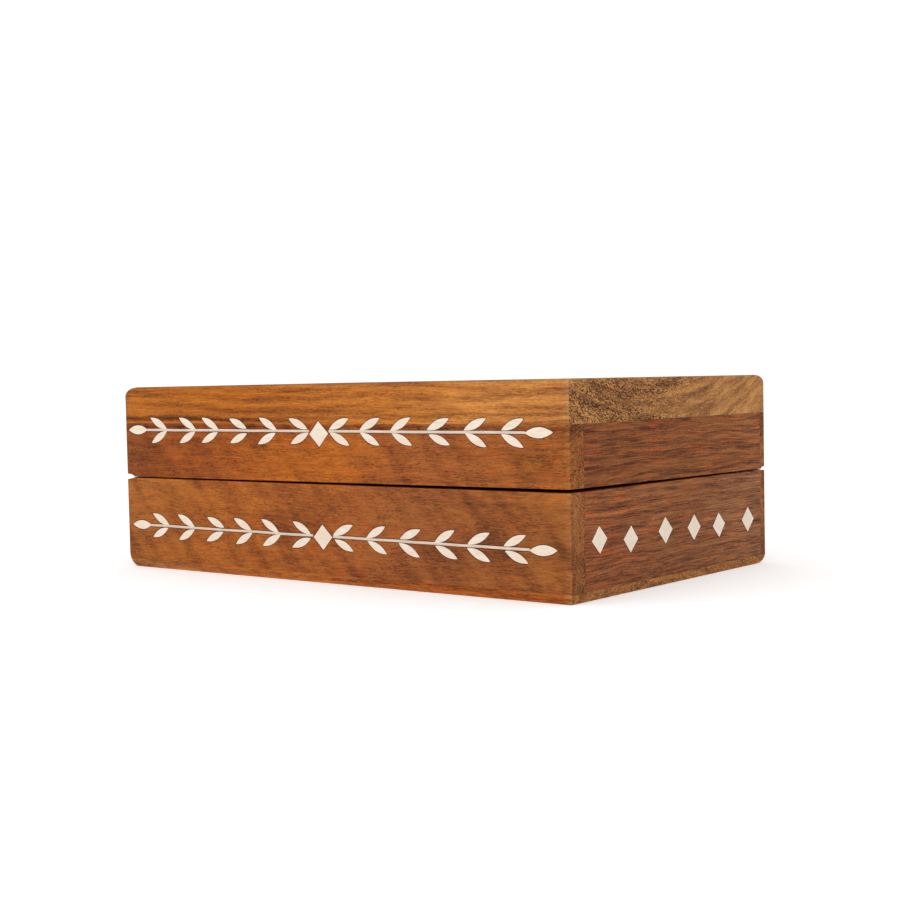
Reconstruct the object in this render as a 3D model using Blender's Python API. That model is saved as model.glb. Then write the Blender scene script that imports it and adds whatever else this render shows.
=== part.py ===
"""Keepsake box of solid hardwood boards with bone inlay, and a lid on two brass butt hinges.

The base is four boards on a thin bottom board. The lid is four rails under a thick top board.
Both are glued up, sanded to a block with its edges eased, then cut for the inlay.
X runs along the front, the front faces -Y, and the underside lies on Z = 0.
"""

import math

import bmesh
import bpy
from mathutils import Matrix, Vector

MM = 0.001

# Case
BOX_WIDTH = 228.6 * MM
BOX_DEPTH = 139.7 * MM
BASE_HEIGHT = 37.8 * MM
SEAM_GAP = 1.0 * MM
LID_HEIGHT = 37.4 * MM
TOP_BOARD = 15.1 * MM
BOTTOM_BOARD = 3.2 * MM
LONG_BOARD = 8.3 * MM
SIDE_BOARD = 8.3 * MM
BACK_LIP = 3.8 * MM
GLUE_GAP = 0.3 * MM

# How far sanding has rounded each kind of edge, as (across the top or underside, up the side)
SQUARE = (0, 0)
CRISP_EDGE = (0.6 * MM, 0.6 * MM)
FRONT_TOP_EDGE = (1.5 * MM, 1.5 * MM)
WORN_TOP_EDGE = (7.6 * MM, 4.0 * MM)
WORN_LEFT_FOOT = (6.0 * MM, 6.0 * MM)
WORN_BACK_FOOT = (8.4 * MM, 4.4 * MM)
EDGE_SEGMENTS = 5

# The front and back faces are eased all round their outlines
EASED_EDGE = 0.4 * MM
EASED_SEGMENTS = 3

# Sanding passes this far outside the block where it takes nothing off
SANDING_CLEARANCE = 0.01 * MM

# Inlay
INLAY_THICKNESS = 1.5 * MM
INLAY_CLEARANCE = 0.2 * MM
INLAY_FLOOR_GAP = 0.3 * MM
INLAY_SPACING = 0.3 * MM
STEM_WIDTH = 1.0 * MM
LEAF_LENGTH = 10.9 * MM
LEAF_WIDTH = 3.4 * MM
LEAF_ANGLE = math.radians(25)
LEAF_NECK = 2.6 * MM
LEAF_PITCH = 16.2 * MM
FIRST_LEAF = 6.0 * MM
LAST_LEAF_GAP = 1.9 * MM
BUD_LENGTH = 10.9 * MM
BUD_WIDTH = 3.6 * MM
DIAMOND_ACROSS = 9.8 * MM
LENS_STEPS = (0.2, 0.42, 0.65, 0.86)

# Vines: height of the stem on the face, end margins, and how far the centre diamond sits
# from the middle of the face and below the stem
LID_VINE_HEIGHT = 19.4 * MM
BASE_VINE_HEIGHT = 18.0 * MM
LID_VINE_MARGINS = (2.5 * MM, 7.2 * MM)
BASE_VINE_MARGINS = (3.4 * MM, 6.1 * MM)
TOP_VINE_MARGINS = (4.8 * MM, 4.8 * MM)
LID_VINE_SHIFT = -1.2 * MM
BASE_VINE_SHIFT = -0.3 * MM
LID_DIAMOND_DROP = 1.1 * MM
BASE_DIAMOND_DROP = 0.4 * MM

# How far, in millimetres, each leaf pair was cut from its even place along the stem
LID_LEFT_UNEVEN = (0.2, 0.1, 1.3, 0.4, -1.3, -0.3)
LID_RIGHT_UNEVEN = (-0.1, -0.8, -1.6, -0.7, 0.1, 0.2)
BASE_LEFT_UNEVEN = (0.0, 1.2, 0.6, 0.2, 1.6, 0.6)
BASE_RIGHT_UNEVEN = (0.1, 0.8, 0.1, 1.3, -0.4, -0.4)
TOP_UNEVEN = (0.0, 0.4, -0.5, 0.2, 0.6, -0.3)

# Rows of diamonds on the sides of the base
SIDE_DIAMONDS = 6
SIDE_FRONT_MARGIN = 17.4 * MM
SIDE_BACK_MARGIN = 14.8 * MM
SIDE_DIAMOND_HEIGHT = 19.3 * MM
SIDE_ALONG_UNEVEN = (0.0, -1.3, 1.0, 0.4, -2.0, 0.0)
SIDE_UP_UNEVEN = (1.3, -0.3, 0.7, 0.0, -0.8, -0.6)
SIDE_TURNS = (2, -3, 1, -2, 3, -1)
TOP_CORNER_INSET = 24.0 * MM

# Butt hinges, let into the mating edges of the two back boards
HINGE_LENGTH = 25.0 * MM
HINGE_END_DISTANCE = 40.0 * MM
HINGE_SETBACK = 1.1 * MM
HINGE_LEAF = 0.6 * MM
HINGE_FITTING_GAP = 0.2 * MM
KNUCKLE_RADIUS = 1.6 * MM
KNUCKLES = 3
PIN_RADIUS = 0.75 * MM
PIN_RUNNING_GAP = 0.05 * MM
PIN_END = 0.3 * MM
ROUND_SEGMENTS = 24

# Countersunk hinge screws
SCREW_SPACING = 16.0 * MM
SCREW_LENGTH = 6.0 * MM
SCREW_POINT = 1.2 * MM
SCREW_RADIUS = 0.7 * MM
SCREW_HEAD_RADIUS = 1.45 * MM
SCREW_HEAD_DEPTH = 0.75 * MM
SCREW_SUNK = 0.05 * MM
SCREW_CLEARANCE = 0.12 * MM
SCREW_SLOT_WIDTH = 0.4 * MM
SCREW_SLOT_DEPTH = 0.3 * MM
SCREW_SEGMENTS = 12

# How far a cutter or a board's raw stock runs past the surface that it has to reach
OVERRUN = 1.5 * MM

# Where things follow from the sizes above
LEFT = -BOX_WIDTH / 2
RIGHT = BOX_WIDTH / 2
FRONT = -BOX_DEPTH / 2
BACK = BOX_DEPTH / 2
LID_BOTTOM = BASE_HEIGHT + SEAM_GAP
TOP = LID_BOTTOM + LID_HEIGHT
SEAM_MIDDLE = BASE_HEIGHT + SEAM_GAP / 2
HINGE_AXIS = Vector((0, BACK + KNUCKLE_RADIUS + HINGE_FITTING_GAP, SEAM_MIDDLE))

BLACKWOOD_RED = (0.20, 0.062, 0.025, 1)
SIDE_BROWN = (0.125, 0.045, 0.022, 1)
GOLDEN_BROWN = (0.30, 0.125, 0.038, 1)
BOTTOM_ORANGE = (0.26, 0.085, 0.030, 1)
BONE = (0.86, 0.74, 0.60, 1)
STEM_BONE = (0.74, 0.64, 0.50, 1)
BRASS = (0.60, 0.42, 0.16, 1)
STEEL = (0.46, 0.44, 0.42, 1)


def clear_scene():
    for old in list(bpy.data.objects):
        bpy.data.objects.remove(old, do_unlink=True)


def make_material(name, colour, roughness, metallic=0.0):
    material = bpy.data.materials.new(name)
    material.use_nodes = True
    shader = material.node_tree.nodes["Principled BSDF"]
    shader.inputs["Base Color"].default_value = colour
    shader.inputs["Roughness"].default_value = roughness
    shader.inputs["Metallic"].default_value = metallic
    return material


def add_object(name, shape, centre, parent=None):
    """An object whose origin is at centre, from a shape drawn in the box's own coordinates."""
    centre = Vector(centre)
    bmesh.ops.translate(shape, verts=shape.verts, vec=-centre)
    bmesh.ops.recalc_face_normals(shape, faces=shape.faces)
    mesh = bpy.data.meshes.new(name)
    shape.to_mesh(mesh)
    shape.free()
    made = bpy.data.objects.new(name, mesh)
    bpy.context.scene.collection.objects.link(made)
    made.parent = parent
    made.location = centre - parent.location if parent else centre
    return made


def add_piece(name, shape, centre, parent, look):
    made = add_object(name, shape, centre, parent)
    made.data.materials.append(make_material(name + "_finish", *look))
    return made


def add_cutter(name, shape, centre):
    made = add_object(name, shape, centre)
    made.hide_render = True
    made.display_type = "WIRE"
    return made


def boolean(piece, other, operation):
    modifier = piece.modifiers.new(operation.lower() + "_" + other.name, "BOOLEAN")
    modifier.operation = operation
    modifier.solver = "EXACT"
    modifier.object = other


def cut(piece, cutters):
    for cutter in cutters:
        boolean(piece, cutter, "DIFFERENCE")


def block(low, high):
    """A plain block between two opposite corners."""
    shape = bmesh.new()
    middle = (Vector(low) + Vector(high)) / 2
    size = Vector(high) - Vector(low)
    bmesh.ops.create_cube(shape, size=1.0)
    bmesh.ops.transform(
        shape,
        verts=shape.verts,
        matrix=Matrix.Translation(middle) @ Matrix.Diagonal((*size, 1)),
    )
    return shape


def lofted(loops):
    """A closed body through matching loops of points, with both ends capped."""
    shape = bmesh.new()
    rings = [[shape.verts.new(point) for point in loop] for loop in loops]
    shape.faces.new(rings[0])
    shape.faces.new(rings[-1][::-1])
    for near, far in zip(rings, rings[1:]):
        for i in range(len(near)):
            j = (i + 1) % len(near)
            shape.faces.new((near[i], far[i], far[j], near[j]))
    return shape


def worn_outline(low, high, corners):
    """A rectangle whose corners are worn back, from the lower left one anticlockwise."""
    places = (
        (low[0], low[1], 1, 1),
        (high[0], low[1], -1, 1),
        (high[0], high[1], -1, -1),
        (low[0], high[1], 1, -1),
    )
    outline = []
    for number, (u, v, way_u, way_v) in enumerate(places):
        across, up = corners[number]
        steps = EDGE_SEGMENTS if across else 0
        for step in range(steps + 1):
            turn = math.radians(180 + 90 * (number + step / EDGE_SEGMENTS))
            at_u = u + way_u * across + across * math.cos(turn)
            at_v = v + way_v * up + up * math.sin(turn)
            outline.append((at_u, at_v))
    return outline


def sanded_block(name, low, high, front_corners, side_corners):
    """The glued-up block's outer form.

    Its front outline has worn corners and eased rims. A second outline, seen from the right,
    wears the long edges at the front and back.
    """
    low = Vector(low)
    high = Vector(high)
    outline = worn_outline((low.x, low.z), (high.x, high.z), front_corners)
    rims = []
    for step in range(EASED_SEGMENTS + 1):
        turn = math.radians(90) * step / EASED_SEGMENTS
        rims.append((EASED_EDGE * (1 - math.cos(turn)), EASED_EDGE * (1 - math.sin(turn))))
    near = [(low.y + depth, inset) for depth, inset in rims]
    far = [(high.y - depth, inset) for depth, inset in reversed(rims)]
    loops = [[(x, y, z) for x, z in grown(outline, -inset)] for y, inset in near + far]
    middle = (low + high) / 2
    form = add_cutter(name, lofted(loops), middle)

    side_low = (low.y - SANDING_CLEARANCE, low.z - SANDING_CLEARANCE)
    side_high = (high.y + SANDING_CLEARANCE, high.z + SANDING_CLEARANCE)
    side = worn_outline(side_low, side_high, side_corners)
    ends = (low.x - OVERRUN, high.x + OVERRUN)
    loops = [[(x, y, z) for y, z in side] for x in ends]
    boolean(form, add_cutter(name + "_side", lofted(loops), middle), "INTERSECT")
    return form


class Face:
    """A flat face of the box, with its own directions along, up and into the wood."""

    def __init__(self, origin, along, up):
        self.origin = Vector(origin)
        self.along = Vector(along)
        self.up = Vector(up)
        self.inward = -self.along.cross(self.up)

    def point(self, u, v, depth):
        return self.origin + u * self.along + v * self.up + depth * self.inward

    def prism(self, outline, shallow, deep):
        """A straight-sided body over an outline, between two depths below the face."""
        return lofted([[self.point(u, v, depth) for u, v in outline] for depth in (shallow, deep)])


FRONT_FACE = Face((0, FRONT, 0), (1, 0, 0), (0, 0, 1))
RIGHT_FACE = Face((RIGHT, 0, 0), (0, 1, 0), (0, 0, 1))
LEFT_FACE = Face((LEFT, 0, 0), (0, -1, 0), (0, 0, 1))
TOP_FACE = Face((0, 0, TOP), (1, 0, 0), (0, 1, 0))


def grown(outline, distance):
    """The outline moved outwards all round by a distance."""
    points = [Vector(p) for p in outline]
    count = len(points)
    area = sum(
        points[i - 1].x * points[i].y - points[i].x * points[i - 1].y for i in range(count)
    )
    turn = 1 if area > 0 else -1
    moved = []
    for i in range(count):
        before = (points[i] - points[i - 1]).normalized()
        after = (points[(i + 1) % count] - points[i]).normalized()
        normal_before = Vector((before.y, -before.x)) * turn
        normal_after = Vector((after.y, -after.x)) * turn
        share = 1 + normal_before.dot(normal_after)
        moved.append(points[i] + (normal_before + normal_after) * distance / share)
    return [tuple(p) for p in moved]


def lens_side(start, end, half_width, steps):
    """Points along one bulging side of a pointed leaf. A negative half width takes the other side."""
    chord = Vector(end) - Vector(start)
    normal = Vector((-chord.y, chord.x)).normalized()
    return [
        tuple(Vector(start) + chord * t + normal * half_width * math.sin(math.pi * t))
        for t in steps
    ]


def lens_outline(start, end, half_width):
    there = lens_side(start, end, half_width, LENS_STEPS)
    back = lens_side(end, start, half_width, LENS_STEPS)
    return [start, *there, end, *back]


def diamond_outline(u, v, half, turn_degrees):
    corners = []
    for quarter in range(4):
        angle = math.radians(turn_degrees + 90 * quarter)
        corners.append((u + half * math.cos(angle), v + half * math.sin(angle)))
    return corners


def leaf_stations(stem_end, uneven):
    """How far from the centre each leaf pair leaves the stem: even spacing that fills the stem."""
    reach = LEAF_LENGTH * math.cos(LEAF_ANGLE)
    last = stem_end - LAST_LEAF_GAP - reach
    pairs = max(2, round((last - FIRST_LEAF) / LEAF_PITCH) + 1)
    pitch = (last - FIRST_LEAF) / (pairs - 1)
    return [FIRST_LEAF + pitch * i + uneven[i % len(uneven)] * MM for i in range(pairs)]


def sprig_outline(stem_start, stem_end, stations):
    """One side of a vine, as seen running to the right: the stem with its leaf pairs."""
    half = STEM_WIDTH / 2
    rise = Vector((math.cos(LEAF_ANGLE), math.sin(LEAF_ANGLE))) * LEAF_LENGTH
    upper = [(stem_start, half)]
    for station in stations:
        root = Vector((station, half))
        tip = root + rise
        upper.append(tuple(root))
        upper += lens_side(root, tip, LEAF_WIDTH / 2, LENS_STEPS)
        upper.append(tuple(tip))
        upper += lens_side(tip, root, LEAF_WIDTH / 2, LENS_STEPS[:-2])
        upper.append((station + LEAF_NECK, half))
    upper.append((stem_end, half))
    lower = [(u, -v) for u, v in reversed(upper)]
    return upper + lower


def vine(name, face, height, margins, shift, drop, uneven):
    """Outlines of a vine's five pieces: a centre diamond, then a sprig and a bud each way."""
    half = DIAMOND_ACROSS / 2
    pieces = {name + "_centre_diamond": diamond_outline(shift, height - drop, half, 2)}
    for side, way, margin in (("left", -1, margins[0]), ("right", 1, margins[1])):
        run = BOX_WIDTH / 2 - margin - way * shift
        stem_end = run - BUD_LENGTH - INLAY_SPACING
        stations = leaf_stations(stem_end, uneven[side])
        sprig = sprig_outline(half + INLAY_SPACING, stem_end, stations)
        bud = lens_outline((run - BUD_LENGTH, 0.0), (run, 0.0), BUD_WIDTH / 2)
        for part, outline in (("sprig", sprig), ("bud", bud)):
            pieces[f"{name}_{side}_{part}"] = [
                (shift + way * u, height + v) for u, v in outline
            ]
    return {piece: (face, outline) for piece, outline in pieces.items()}


def side_row(name, face, way):
    """Outlines of the row of diamonds on one side of the base."""
    first = FRONT + SIDE_FRONT_MARGIN
    pitch = (BOX_DEPTH - SIDE_FRONT_MARGIN - SIDE_BACK_MARGIN) / (SIDE_DIAMONDS - 1)
    pieces = {}
    for i in range(SIDE_DIAMONDS):
        along = first + pitch * i + SIDE_ALONG_UNEVEN[i % len(SIDE_ALONG_UNEVEN)] * MM
        up = SIDE_DIAMOND_HEIGHT + SIDE_UP_UNEVEN[i % len(SIDE_UP_UNEVEN)] * MM
        turn = SIDE_TURNS[i % len(SIDE_TURNS)]
        outline = diamond_outline(way * along, up, DIAMOND_ACROSS / 2, turn)
        pieces[f"{name}_{i + 1}"] = (face, outline)
    return pieces


def corner_diamonds():
    """Outlines of the diamonds near the corners of the lid's top."""
    pieces = {}
    for back, v in (("front", FRONT + TOP_CORNER_INSET), ("back", BACK - TOP_CORNER_INSET)):
        for side, u in (("left", LEFT + TOP_CORNER_INSET), ("right", RIGHT - TOP_CORNER_INSET)):
            outline = diamond_outline(u, v, DIAMOND_ACROSS / 2, 0)
            pieces[f"top_{back}_{side}_diamond"] = (TOP_FACE, outline)
    return pieces


def add_inlay(pieces, parent):
    """The inlaid pieces themselves, and the cutters for their pockets."""
    cutters = []
    for name, (face, outline) in pieces.items():
        u = (min(p[0] for p in outline) + max(p[0] for p in outline)) / 2
        v = (min(p[1] for p in outline) + max(p[1] for p in outline)) / 2
        centre = face.point(u, v, INLAY_THICKNESS / 2)
        look = (STEM_BONE if "sprig" in name else BONE, 0.38)
        add_piece(name, face.prism(outline, 0, INLAY_THICKNESS), centre, parent, look)
        pocket = face.prism(
            grown(outline, INLAY_CLEARANCE), -OVERRUN, INLAY_THICKNESS + INLAY_FLOOR_GAP
        )
        cutters.append(add_cutter(name + "_pocket", pocket, centre))
    return cutters


def add_board(name, low, high, form, parent, look):
    """A board sawn to low and high, then sanded back to the block's outer form."""
    centre = (Vector(low) + Vector(high)) / 2
    board = add_piece(name, block(low, high), centre, parent, look)
    boolean(board, form, "INTERSECT")
    return board


def add_frame(prefix, words, low, high, form, parent, looks):
    """Four boards. The front one covers the sides' ends, and the back one is rabbeted to take them."""
    raw_left = LEFT - OVERRUN
    raw_right = RIGHT + OVERRUN
    front_inner = FRONT + LONG_BOARD
    back_inner = BACK - LONG_BOARD
    rabbet = BACK - BACK_LIP
    spans = {
        "front": ((raw_left, FRONT - OVERRUN, low), (raw_right, front_inner, high)),
        "back": ((raw_left, back_inner, low), (raw_right, BACK + OVERRUN, high)),
        "left": (
            (raw_left, front_inner + GLUE_GAP, low),
            (LEFT + SIDE_BOARD, rabbet - GLUE_GAP, high),
        ),
        "right": (
            (RIGHT - SIDE_BOARD, front_inner + GLUE_GAP, low),
            (raw_right, rabbet - GLUE_GAP, high),
        ),
    }
    boards = {
        side: add_board(f"{prefix}_{side}_{words}", *span, form, parent, looks[side])
        for side, span in spans.items()
    }
    reach = SIDE_BOARD + GLUE_GAP
    for side, x in (("left", LEFT), ("right", RIGHT - reach)):
        notch = block(
            (x - OVERRUN if side == "left" else x, back_inner - OVERRUN, low - OVERRUN),
            (x + reach if side == "left" else RIGHT + OVERRUN, rabbet, high + OVERRUN),
        )
        centre = Vector((x, back_inner, low))
        cut(boards["back"], [add_cutter(f"{prefix}_back_{side}_rabbet", notch, centre)])
    return boards


def rod(radius, start_x, end_x, axis, segments=ROUND_SEGMENTS):
    """A round bar along X on an axis."""
    shape = bmesh.new()
    bmesh.ops.create_cone(
        shape,
        cap_ends=True,
        segments=segments,
        radius1=radius,
        radius2=radius,
        depth=end_x - start_x,
        matrix=Matrix.Translation(((start_x + end_x) / 2, axis.y, axis.z))
        @ Matrix.Rotation(math.pi / 2, 4, "Y"),
    )
    return shape


def turned(profile, centre, way):
    """A round body turned from (radius, depth) pairs, its depth running down, or up for way -1."""
    shape = bmesh.new()
    rings = []
    for radius, depth in profile:
        z = centre.z - way * depth
        if radius == 0:
            rings.append([shape.verts.new((centre.x, centre.y, z))])
            continue
        rings.append(
            [
                shape.verts.new(
                    (
                        centre.x + radius * math.cos(math.tau * i / SCREW_SEGMENTS),
                        centre.y + radius * math.sin(math.tau * i / SCREW_SEGMENTS),
                        z,
                    )
                )
                for i in range(SCREW_SEGMENTS)
            ]
        )
    for above, below in zip(rings, rings[1:]):
        for i in range(SCREW_SEGMENTS):
            j = (i + 1) % SCREW_SEGMENTS
            if len(above) == 1:
                shape.faces.new((above[0], below[i], below[j]))
            elif len(below) == 1:
                shape.faces.new((above[i], below[0], above[j]))
            else:
                shape.faces.new((above[i], below[i], below[j], above[j]))
    return shape


def smooth(piece):
    """Smooth shading on the round faces, with the sharp edges kept."""
    for polygon in piece.data.polygons:
        polygon.use_smooth = len(polygon.vertices) <= 4
    for edge in piece.data.edges:
        edge.use_edge_sharp = False
    piece.data.set_sharp_from_angle(angle=math.radians(35))


def add_screw(name, seat, way, parent):
    """A countersunk screw with its head just under the leaf's face, and the cutter for its hole."""
    shank_end = SCREW_LENGTH - SCREW_POINT
    head_end = SCREW_SUNK + SCREW_HEAD_DEPTH
    profile = (
        (0, SCREW_SUNK),
        (SCREW_HEAD_RADIUS, SCREW_SUNK),
        (SCREW_RADIUS, head_end),
        (SCREW_RADIUS, shank_end),
        (0, SCREW_LENGTH),
    )
    screw = add_piece(name, turned(profile, seat, way), seat, parent, (BRASS, 0.34, 1.0))
    smooth(screw)
    reach = Vector((SCREW_HEAD_RADIUS * 2, SCREW_SLOT_WIDTH / 2, SCREW_SUNK + SCREW_SLOT_DEPTH))
    slot = block(seat - reach, (seat.x + reach.x, seat.y + reach.y, seat.z + OVERRUN))
    if way < 0:
        bmesh.ops.scale(slot, verts=slot.verts, vec=(1, 1, -1), space=Matrix.Translation(-seat))
    cut(screw, [add_cutter(name + "_slot", slot, seat)])
    grow = SCREW_CLEARANCE
    hole = (
        (0, -OVERRUN),
        (SCREW_HEAD_RADIUS + grow, -OVERRUN),
        (SCREW_HEAD_RADIUS + grow, SCREW_SUNK + grow),
        (SCREW_RADIUS + grow, head_end + grow),
        (SCREW_RADIUS + grow, shank_end),
        (0, SCREW_LENGTH + 3 * grow),
    )
    return add_cutter(name + "_hole", turned(hole, seat, way), seat)


def add_hinge(name, centre_x, boards, lid_parent):
    """A butt hinge: base leaf, lid leaf and pin, with its screws. It cuts its own seats in the boards."""
    start = centre_x - HINGE_LENGTH / 2
    end = centre_x + HINGE_LENGTH / 2
    knuckle = HINGE_LENGTH / KNUCKLES
    spans = [
        (
            start + knuckle * i + (HINGE_FITTING_GAP / 2 if i else 0),
            start + knuckle * (i + 1) - (HINGE_FITTING_GAP / 2 if i < KNUCKLES - 1 else 0),
        )
        for i in range(KNUCKLES)
    ]
    pin_at = Vector((centre_x, HINGE_AXIS.y, HINGE_AXIS.z))
    pin = add_piece(
        name + "_pin",
        rod(PIN_RADIUS, start - PIN_END, end + PIN_END, HINGE_AXIS),
        pin_at,
        None,
        (STEEL, 0.35, 1.0),
    )
    smooth(pin)
    bore = add_cutter(
        name + "_bore",
        rod(PIN_RADIUS + PIN_RUNNING_GAP, start - OVERRUN, end + OVERRUN, HINGE_AXIS),
        pin_at,
    )
    leaf_front = BACK - LONG_BOARD + HINGE_SETBACK
    for body, way, own, parent in (("base", 1, 0, None), ("lid", -1, 1, lid_parent)):
        inner = SEAM_MIDDLE - way * HINGE_FITTING_GAP / 2
        outer = inner - way * HINGE_LEAF
        seat_floor = outer - way * HINGE_FITTING_GAP
        low, high = sorted((inner, outer))
        plate = block((start, leaf_front, low), (end, HINGE_AXIS.y, high))
        leaf = add_piece(f"{name}_{body}_leaf", plate, pin_at, parent, (BRASS, 0.36, 1.0))
        for i, (a, b) in enumerate(spans):
            if i % 2 == own:
                barrel = rod(KNUCKLE_RADIUS, a, b, HINGE_AXIS)
                barrel = add_cutter(f"{name}_{body}_knuckle_{i}", barrel, pin_at)
                boolean(leaf, barrel, "UNION")
            else:
                before = a - (HINGE_FITTING_GAP if i else OVERRUN)
                after = b + (HINGE_FITTING_GAP if i < KNUCKLES - 1 else OVERRUN)
                room = rod(KNUCKLE_RADIUS + HINGE_FITTING_GAP, before, after, HINGE_AXIS)
                cut(leaf, [add_cutter(f"{name}_{body}_room_{i}", room, pin_at)])
        cut(leaf, [bore])
        smooth(leaf)
        low, high = sorted((seat_floor, SEAM_MIDDLE))
        seat = block(
            (start - HINGE_FITTING_GAP, leaf_front - HINGE_FITTING_GAP, low),
            (end + HINGE_FITTING_GAP, BACK + OVERRUN, high),
        )
        cut(boards[body], [add_cutter(f"{name}_{body}_seat", seat, pin_at)])
        for side, x in (("left", -SCREW_SPACING / 2), ("right", SCREW_SPACING / 2)):
            place = Vector((centre_x + x, BACK - LONG_BOARD / 2, inner))
            hole = add_screw(f"{name}_{body}_{side}_screw", place, way, parent)
            cut(leaf, [hole])
            cut(boards[body], [hole])


def main():
    clear_scene()
    lid_parent = bpy.data.objects.new("lid_hinge_axis", None)
    bpy.context.scene.collection.objects.link(lid_parent)
    lid_parent.location = HINGE_AXIS

    base_form = sanded_block(
        "base_form",
        (LEFT, FRONT, 0),
        (RIGHT, BACK, BASE_HEIGHT),
        (WORN_LEFT_FOOT, CRISP_EDGE, CRISP_EDGE, CRISP_EDGE),
        (SQUARE, WORN_BACK_FOOT, SQUARE, SQUARE),
    )
    lid_form = sanded_block(
        "lid_form",
        (LEFT, FRONT, LID_BOTTOM),
        (RIGHT, BACK, TOP),
        (CRISP_EDGE, CRISP_EDGE, CRISP_EDGE, WORN_TOP_EDGE),
        (SQUARE, SQUARE, WORN_TOP_EDGE, FRONT_TOP_EDGE),
    )

    red = (BLACKWOOD_RED, 0.42)
    brown = (SIDE_BROWN, 0.45)
    looks = {"front": red, "back": red, "left": brown, "right": brown}
    base = add_frame(
        "base", "board", BOTTOM_BOARD + GLUE_GAP, BASE_HEIGHT + OVERRUN, base_form, None, looks
    )
    add_board(
        "base_bottom_board",
        (LEFT - OVERRUN, FRONT - OVERRUN, -OVERRUN),
        (RIGHT + OVERRUN, BACK + OVERRUN, BOTTOM_BOARD),
        base_form,
        None,
        (BOTTOM_ORANGE, 0.45),
    )
    top_low = TOP - TOP_BOARD
    lid = add_frame(
        "lid", "rail", LID_BOTTOM - OVERRUN, top_low - GLUE_GAP, lid_form, lid_parent, looks
    )
    lid_top = add_board(
        "lid_top_board",
        (LEFT - OVERRUN, FRONT - OVERRUN, top_low),
        (RIGHT + OVERRUN, BACK + OVERRUN, TOP + OVERRUN),
        lid_form,
        lid_parent,
        (GOLDEN_BROWN, 0.42),
    )

    lid_vine = vine(
        "lid_vine",
        FRONT_FACE,
        LID_BOTTOM + LID_VINE_HEIGHT,
        LID_VINE_MARGINS,
        LID_VINE_SHIFT,
        LID_DIAMOND_DROP,
        {"left": LID_LEFT_UNEVEN, "right": LID_RIGHT_UNEVEN},
    )
    base_vine = vine(
        "base_vine",
        FRONT_FACE,
        BASE_VINE_HEIGHT,
        BASE_VINE_MARGINS,
        BASE_VINE_SHIFT,
        BASE_DIAMOND_DROP,
        {"left": BASE_LEFT_UNEVEN, "right": BASE_RIGHT_UNEVEN},
    )
    top_vine = vine(
        "top_vine",
        TOP_FACE,
        0,
        TOP_VINE_MARGINS,
        0,
        0,
        {"left": TOP_UNEVEN, "right": TOP_UNEVEN},
    )
    lid_pockets = add_inlay(lid_vine, lid_parent)
    cut(lid["front"], lid_pockets)
    cut(lid_top, lid_pockets)
    cut(lid_top, add_inlay(top_vine, lid_parent))
    cut(lid_top, add_inlay(corner_diamonds(), lid_parent))
    cut(base["front"], add_inlay(base_vine, None))
    cut(base["right"], add_inlay(side_row("base_right_diamond", RIGHT_FACE, 1), None))
    cut(base["left"], add_inlay(side_row("base_left_diamond", LEFT_FACE, -1), None))

    hinge_x = BOX_WIDTH / 2 - HINGE_END_DISTANCE
    back_boards = {"base": base["back"], "lid": lid["back"]}
    for side, x in (("left", -hinge_x), ("right", hinge_x)):
        add_hinge(f"{side}_hinge", x, back_boards, lid_parent)


main()
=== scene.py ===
"""Inlaid hardwood keepsake box: sanded boards, bone inlay in glued pockets, brass butt hinges."""

import math
import random

import bmesh
import bpy
from mathutils import Matrix, Vector


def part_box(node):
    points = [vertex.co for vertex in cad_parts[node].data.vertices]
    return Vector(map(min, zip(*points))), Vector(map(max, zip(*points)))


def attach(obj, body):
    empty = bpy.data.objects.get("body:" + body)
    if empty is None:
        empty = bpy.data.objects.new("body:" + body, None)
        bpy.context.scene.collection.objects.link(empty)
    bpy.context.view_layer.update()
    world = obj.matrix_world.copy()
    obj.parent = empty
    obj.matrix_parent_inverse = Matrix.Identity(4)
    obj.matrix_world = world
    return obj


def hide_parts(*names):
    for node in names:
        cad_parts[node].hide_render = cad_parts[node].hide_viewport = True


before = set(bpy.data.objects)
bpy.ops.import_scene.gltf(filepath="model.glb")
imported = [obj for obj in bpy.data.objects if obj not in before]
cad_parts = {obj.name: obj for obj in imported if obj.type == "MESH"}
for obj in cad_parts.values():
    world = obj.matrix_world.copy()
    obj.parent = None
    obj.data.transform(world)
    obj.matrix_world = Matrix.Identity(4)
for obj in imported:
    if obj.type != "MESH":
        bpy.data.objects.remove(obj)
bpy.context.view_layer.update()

MM = 0.001

# The box's faces and joints, read from the boards
base_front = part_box("base_front_board")
base_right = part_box("base_right_board")
top_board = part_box("lid_top_board")
LEFT, FRONT, SLAB_LOW = top_board[0]
RIGHT, BACK, TOP = top_board[1]
BASE_TOP = base_front[1].z
LID_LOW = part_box("lid_front_rail")[0].z
FLOOR_BOARD_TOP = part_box("base_bottom_board")[1].z
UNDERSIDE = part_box("base_bottom_board")[0].z
BACK_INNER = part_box("base_back_board")[0].y
LEFT_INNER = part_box("base_left_board")[1].x
RIGHT_INNER = base_right[0].x
FLOOR_JOINT = (FLOOR_BOARD_TOP + base_front[0].z) / 2
SLAB_JOINT = (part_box("lid_front_rail")[1].z + SLAB_LOW) / 2
FRONT_JOINT = (base_front[1].y + base_right[0].y) / 2
HALF_GLUE = (base_right[0].y - base_front[1].y) / 2
BACK_JOINT = base_right[1].y + HALF_GLUE
LEFT_JOINT = LEFT_INNER + HALF_GLUE
RIGHT_JOINT = RIGHT_INNER - HALF_GLUE
# Cutters and sawn blanks run this far past the faces that they cut
PAST = 1.5 * MM
# Half of a glued joint's hairline
JOINT = 0.02 * MM

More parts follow.
